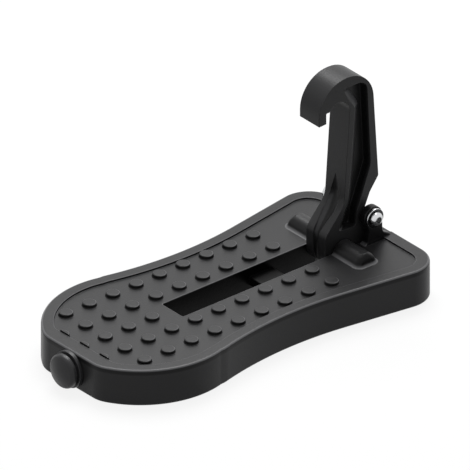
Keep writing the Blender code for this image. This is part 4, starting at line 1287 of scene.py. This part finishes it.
class LATCHSTEP_OT_fasteners(StepOperator, bpy.types.Operator):
    """Make the hinge pin and the stop bolt with its washers and nut"""
    bl_idname = "latchstep.fasteners"
    bl_label = "Fasteners"

    def execute(self, context):
        sizes = context.scene.latch_fasteners
        half = (PIN_HIGH.y - PIN_LOW.y) / 2
        pin = turned("pin", shaft_profile(half, -half, PIN_RADIUS, 0.5 * MM), 48,
                     along_y(HINGE_X, 0, HINGE_Z))
        place_zinc(plain(pin, "hinge_pin_fine"), "hinge_pin")
        place_zinc(stop_bolt(sizes), "stop_bolt")
        place_zinc(bolt_thread(sizes, need("zinc_plating")))
        hole = sizes.bolt_radius + SEAT_GAP
        for name, face in (("bolt_washer", -EAR_OUTER - SEAT_GAP),
                           ("nut_washer", EAR_OUTER + SEAT_GAP + WASHER)):
            ring = flat_ring(name + "_fine", hole, sizes.washer_radius, WASHER, 0.18 * MM, 72,
                             along_y(STOP_X, face, STOP_Z))
            place_zinc(ring, name)
        place_zinc(lock_nut(sizes), "lock_nut")
        ring = flat_ring("nylon_ring", hole, 2.7 * MM, 1.1 * MM, 0.12 * MM, 64,
                         along_y(STOP_X, NUT_TOP, STOP_Z))
        place_piece(ring, need("ring_nylon"), "nylon", "plate", "nut_insert")
        return {'FINISHED'}


class LATCHSTEP_OT_end_bumper(StepOperator, bpy.types.Operator):
    """Make the rubber bumper, its screw and washer"""
    bl_idname = "latchstep.end_bumper"
    bl_label = "End bumper"

    def execute(self, context):
        place_piece(bumper(context.scene.latch_bumper), need("bumper_rubber"), "black_rubber",
                    "plate", "end_bumper")
        place_zinc(bumper_screw(), "bumper_screw")
        ring = flat_ring("bumper_washer_fine", SCREW_BORE, 4.0 * MM, SCREW_WASHER, 0.15 * MM, 56,
                         along_x(BUMPER_END + WALL + SEAT_GAP + SCREW_WASHER, 0, BUMPER_Z))
        place_zinc(ring, "bumper_washer")
        return {'FINISHED'}


class LATCHSTEP_OT_stage(StepOperator, bpy.types.Operator):
    """Make the floor, the lights and the camera"""
    bl_idname = "latchstep.stage"
    bl_label = "Stage"

    def execute(self, context):
        colours = context.scene.latch_colours
        stage_floor(colours)
        stage_sky(colours)
        stage_light(colours)
        stage_camera()
        context.scene.view_settings.view_transform = 'Standard'
        return {'FINISHED'}


class LATCHSTEP_PT_panel(bpy.types.Panel):
    """Lists the steps that build the object"""
    bl_idname = "LATCHSTEP_PT_panel"
    bl_label = "Car door latch step"
    bl_space_type = 'VIEW_3D'
    bl_region_type = 'UI'
    bl_category = "Latch step"

    def draw(self, context):
        for operator in OPERATORS:
            self.layout.operator(operator.bl_idname)


OPERATORS = (LATCHSTEP_OT_finishes, LATCHSTEP_OT_foot_plate, LATCHSTEP_OT_tread_studs,
             LATCHSTEP_OT_hook, LATCHSTEP_OT_fasteners, LATCHSTEP_OT_end_bumper,
             LATCHSTEP_OT_stage)
GROUPS = {"latch_plate": PlateSizes, "latch_hook": HookSizes, "latch_fasteners": FastenerSizes,
          "latch_bumper": BumperSizes, "latch_colours": Colours}


def register():
    for group in (*GROUPS.values(), *OPERATORS, LATCHSTEP_PT_panel):
        bpy.utils.register_class(group)
    for name, group in GROUPS.items():
        setattr(bpy.types.Scene, name, PointerProperty(type=group))


def unregister():
    for name in GROUPS:
        delattr(bpy.types.Scene, name)
    for group in reversed((*GROUPS.values(), *OPERATORS, LATCHSTEP_PT_panel)):
        bpy.utils.unregister_class(group)


def main():
    """Makes every piece and the stage."""
    register()
    for operator in OPERATORS:
        group, name = operator.bl_idname.split(".")
        getattr(getattr(bpy.ops, group), name)()


if __name__ == "__main__":
    main()
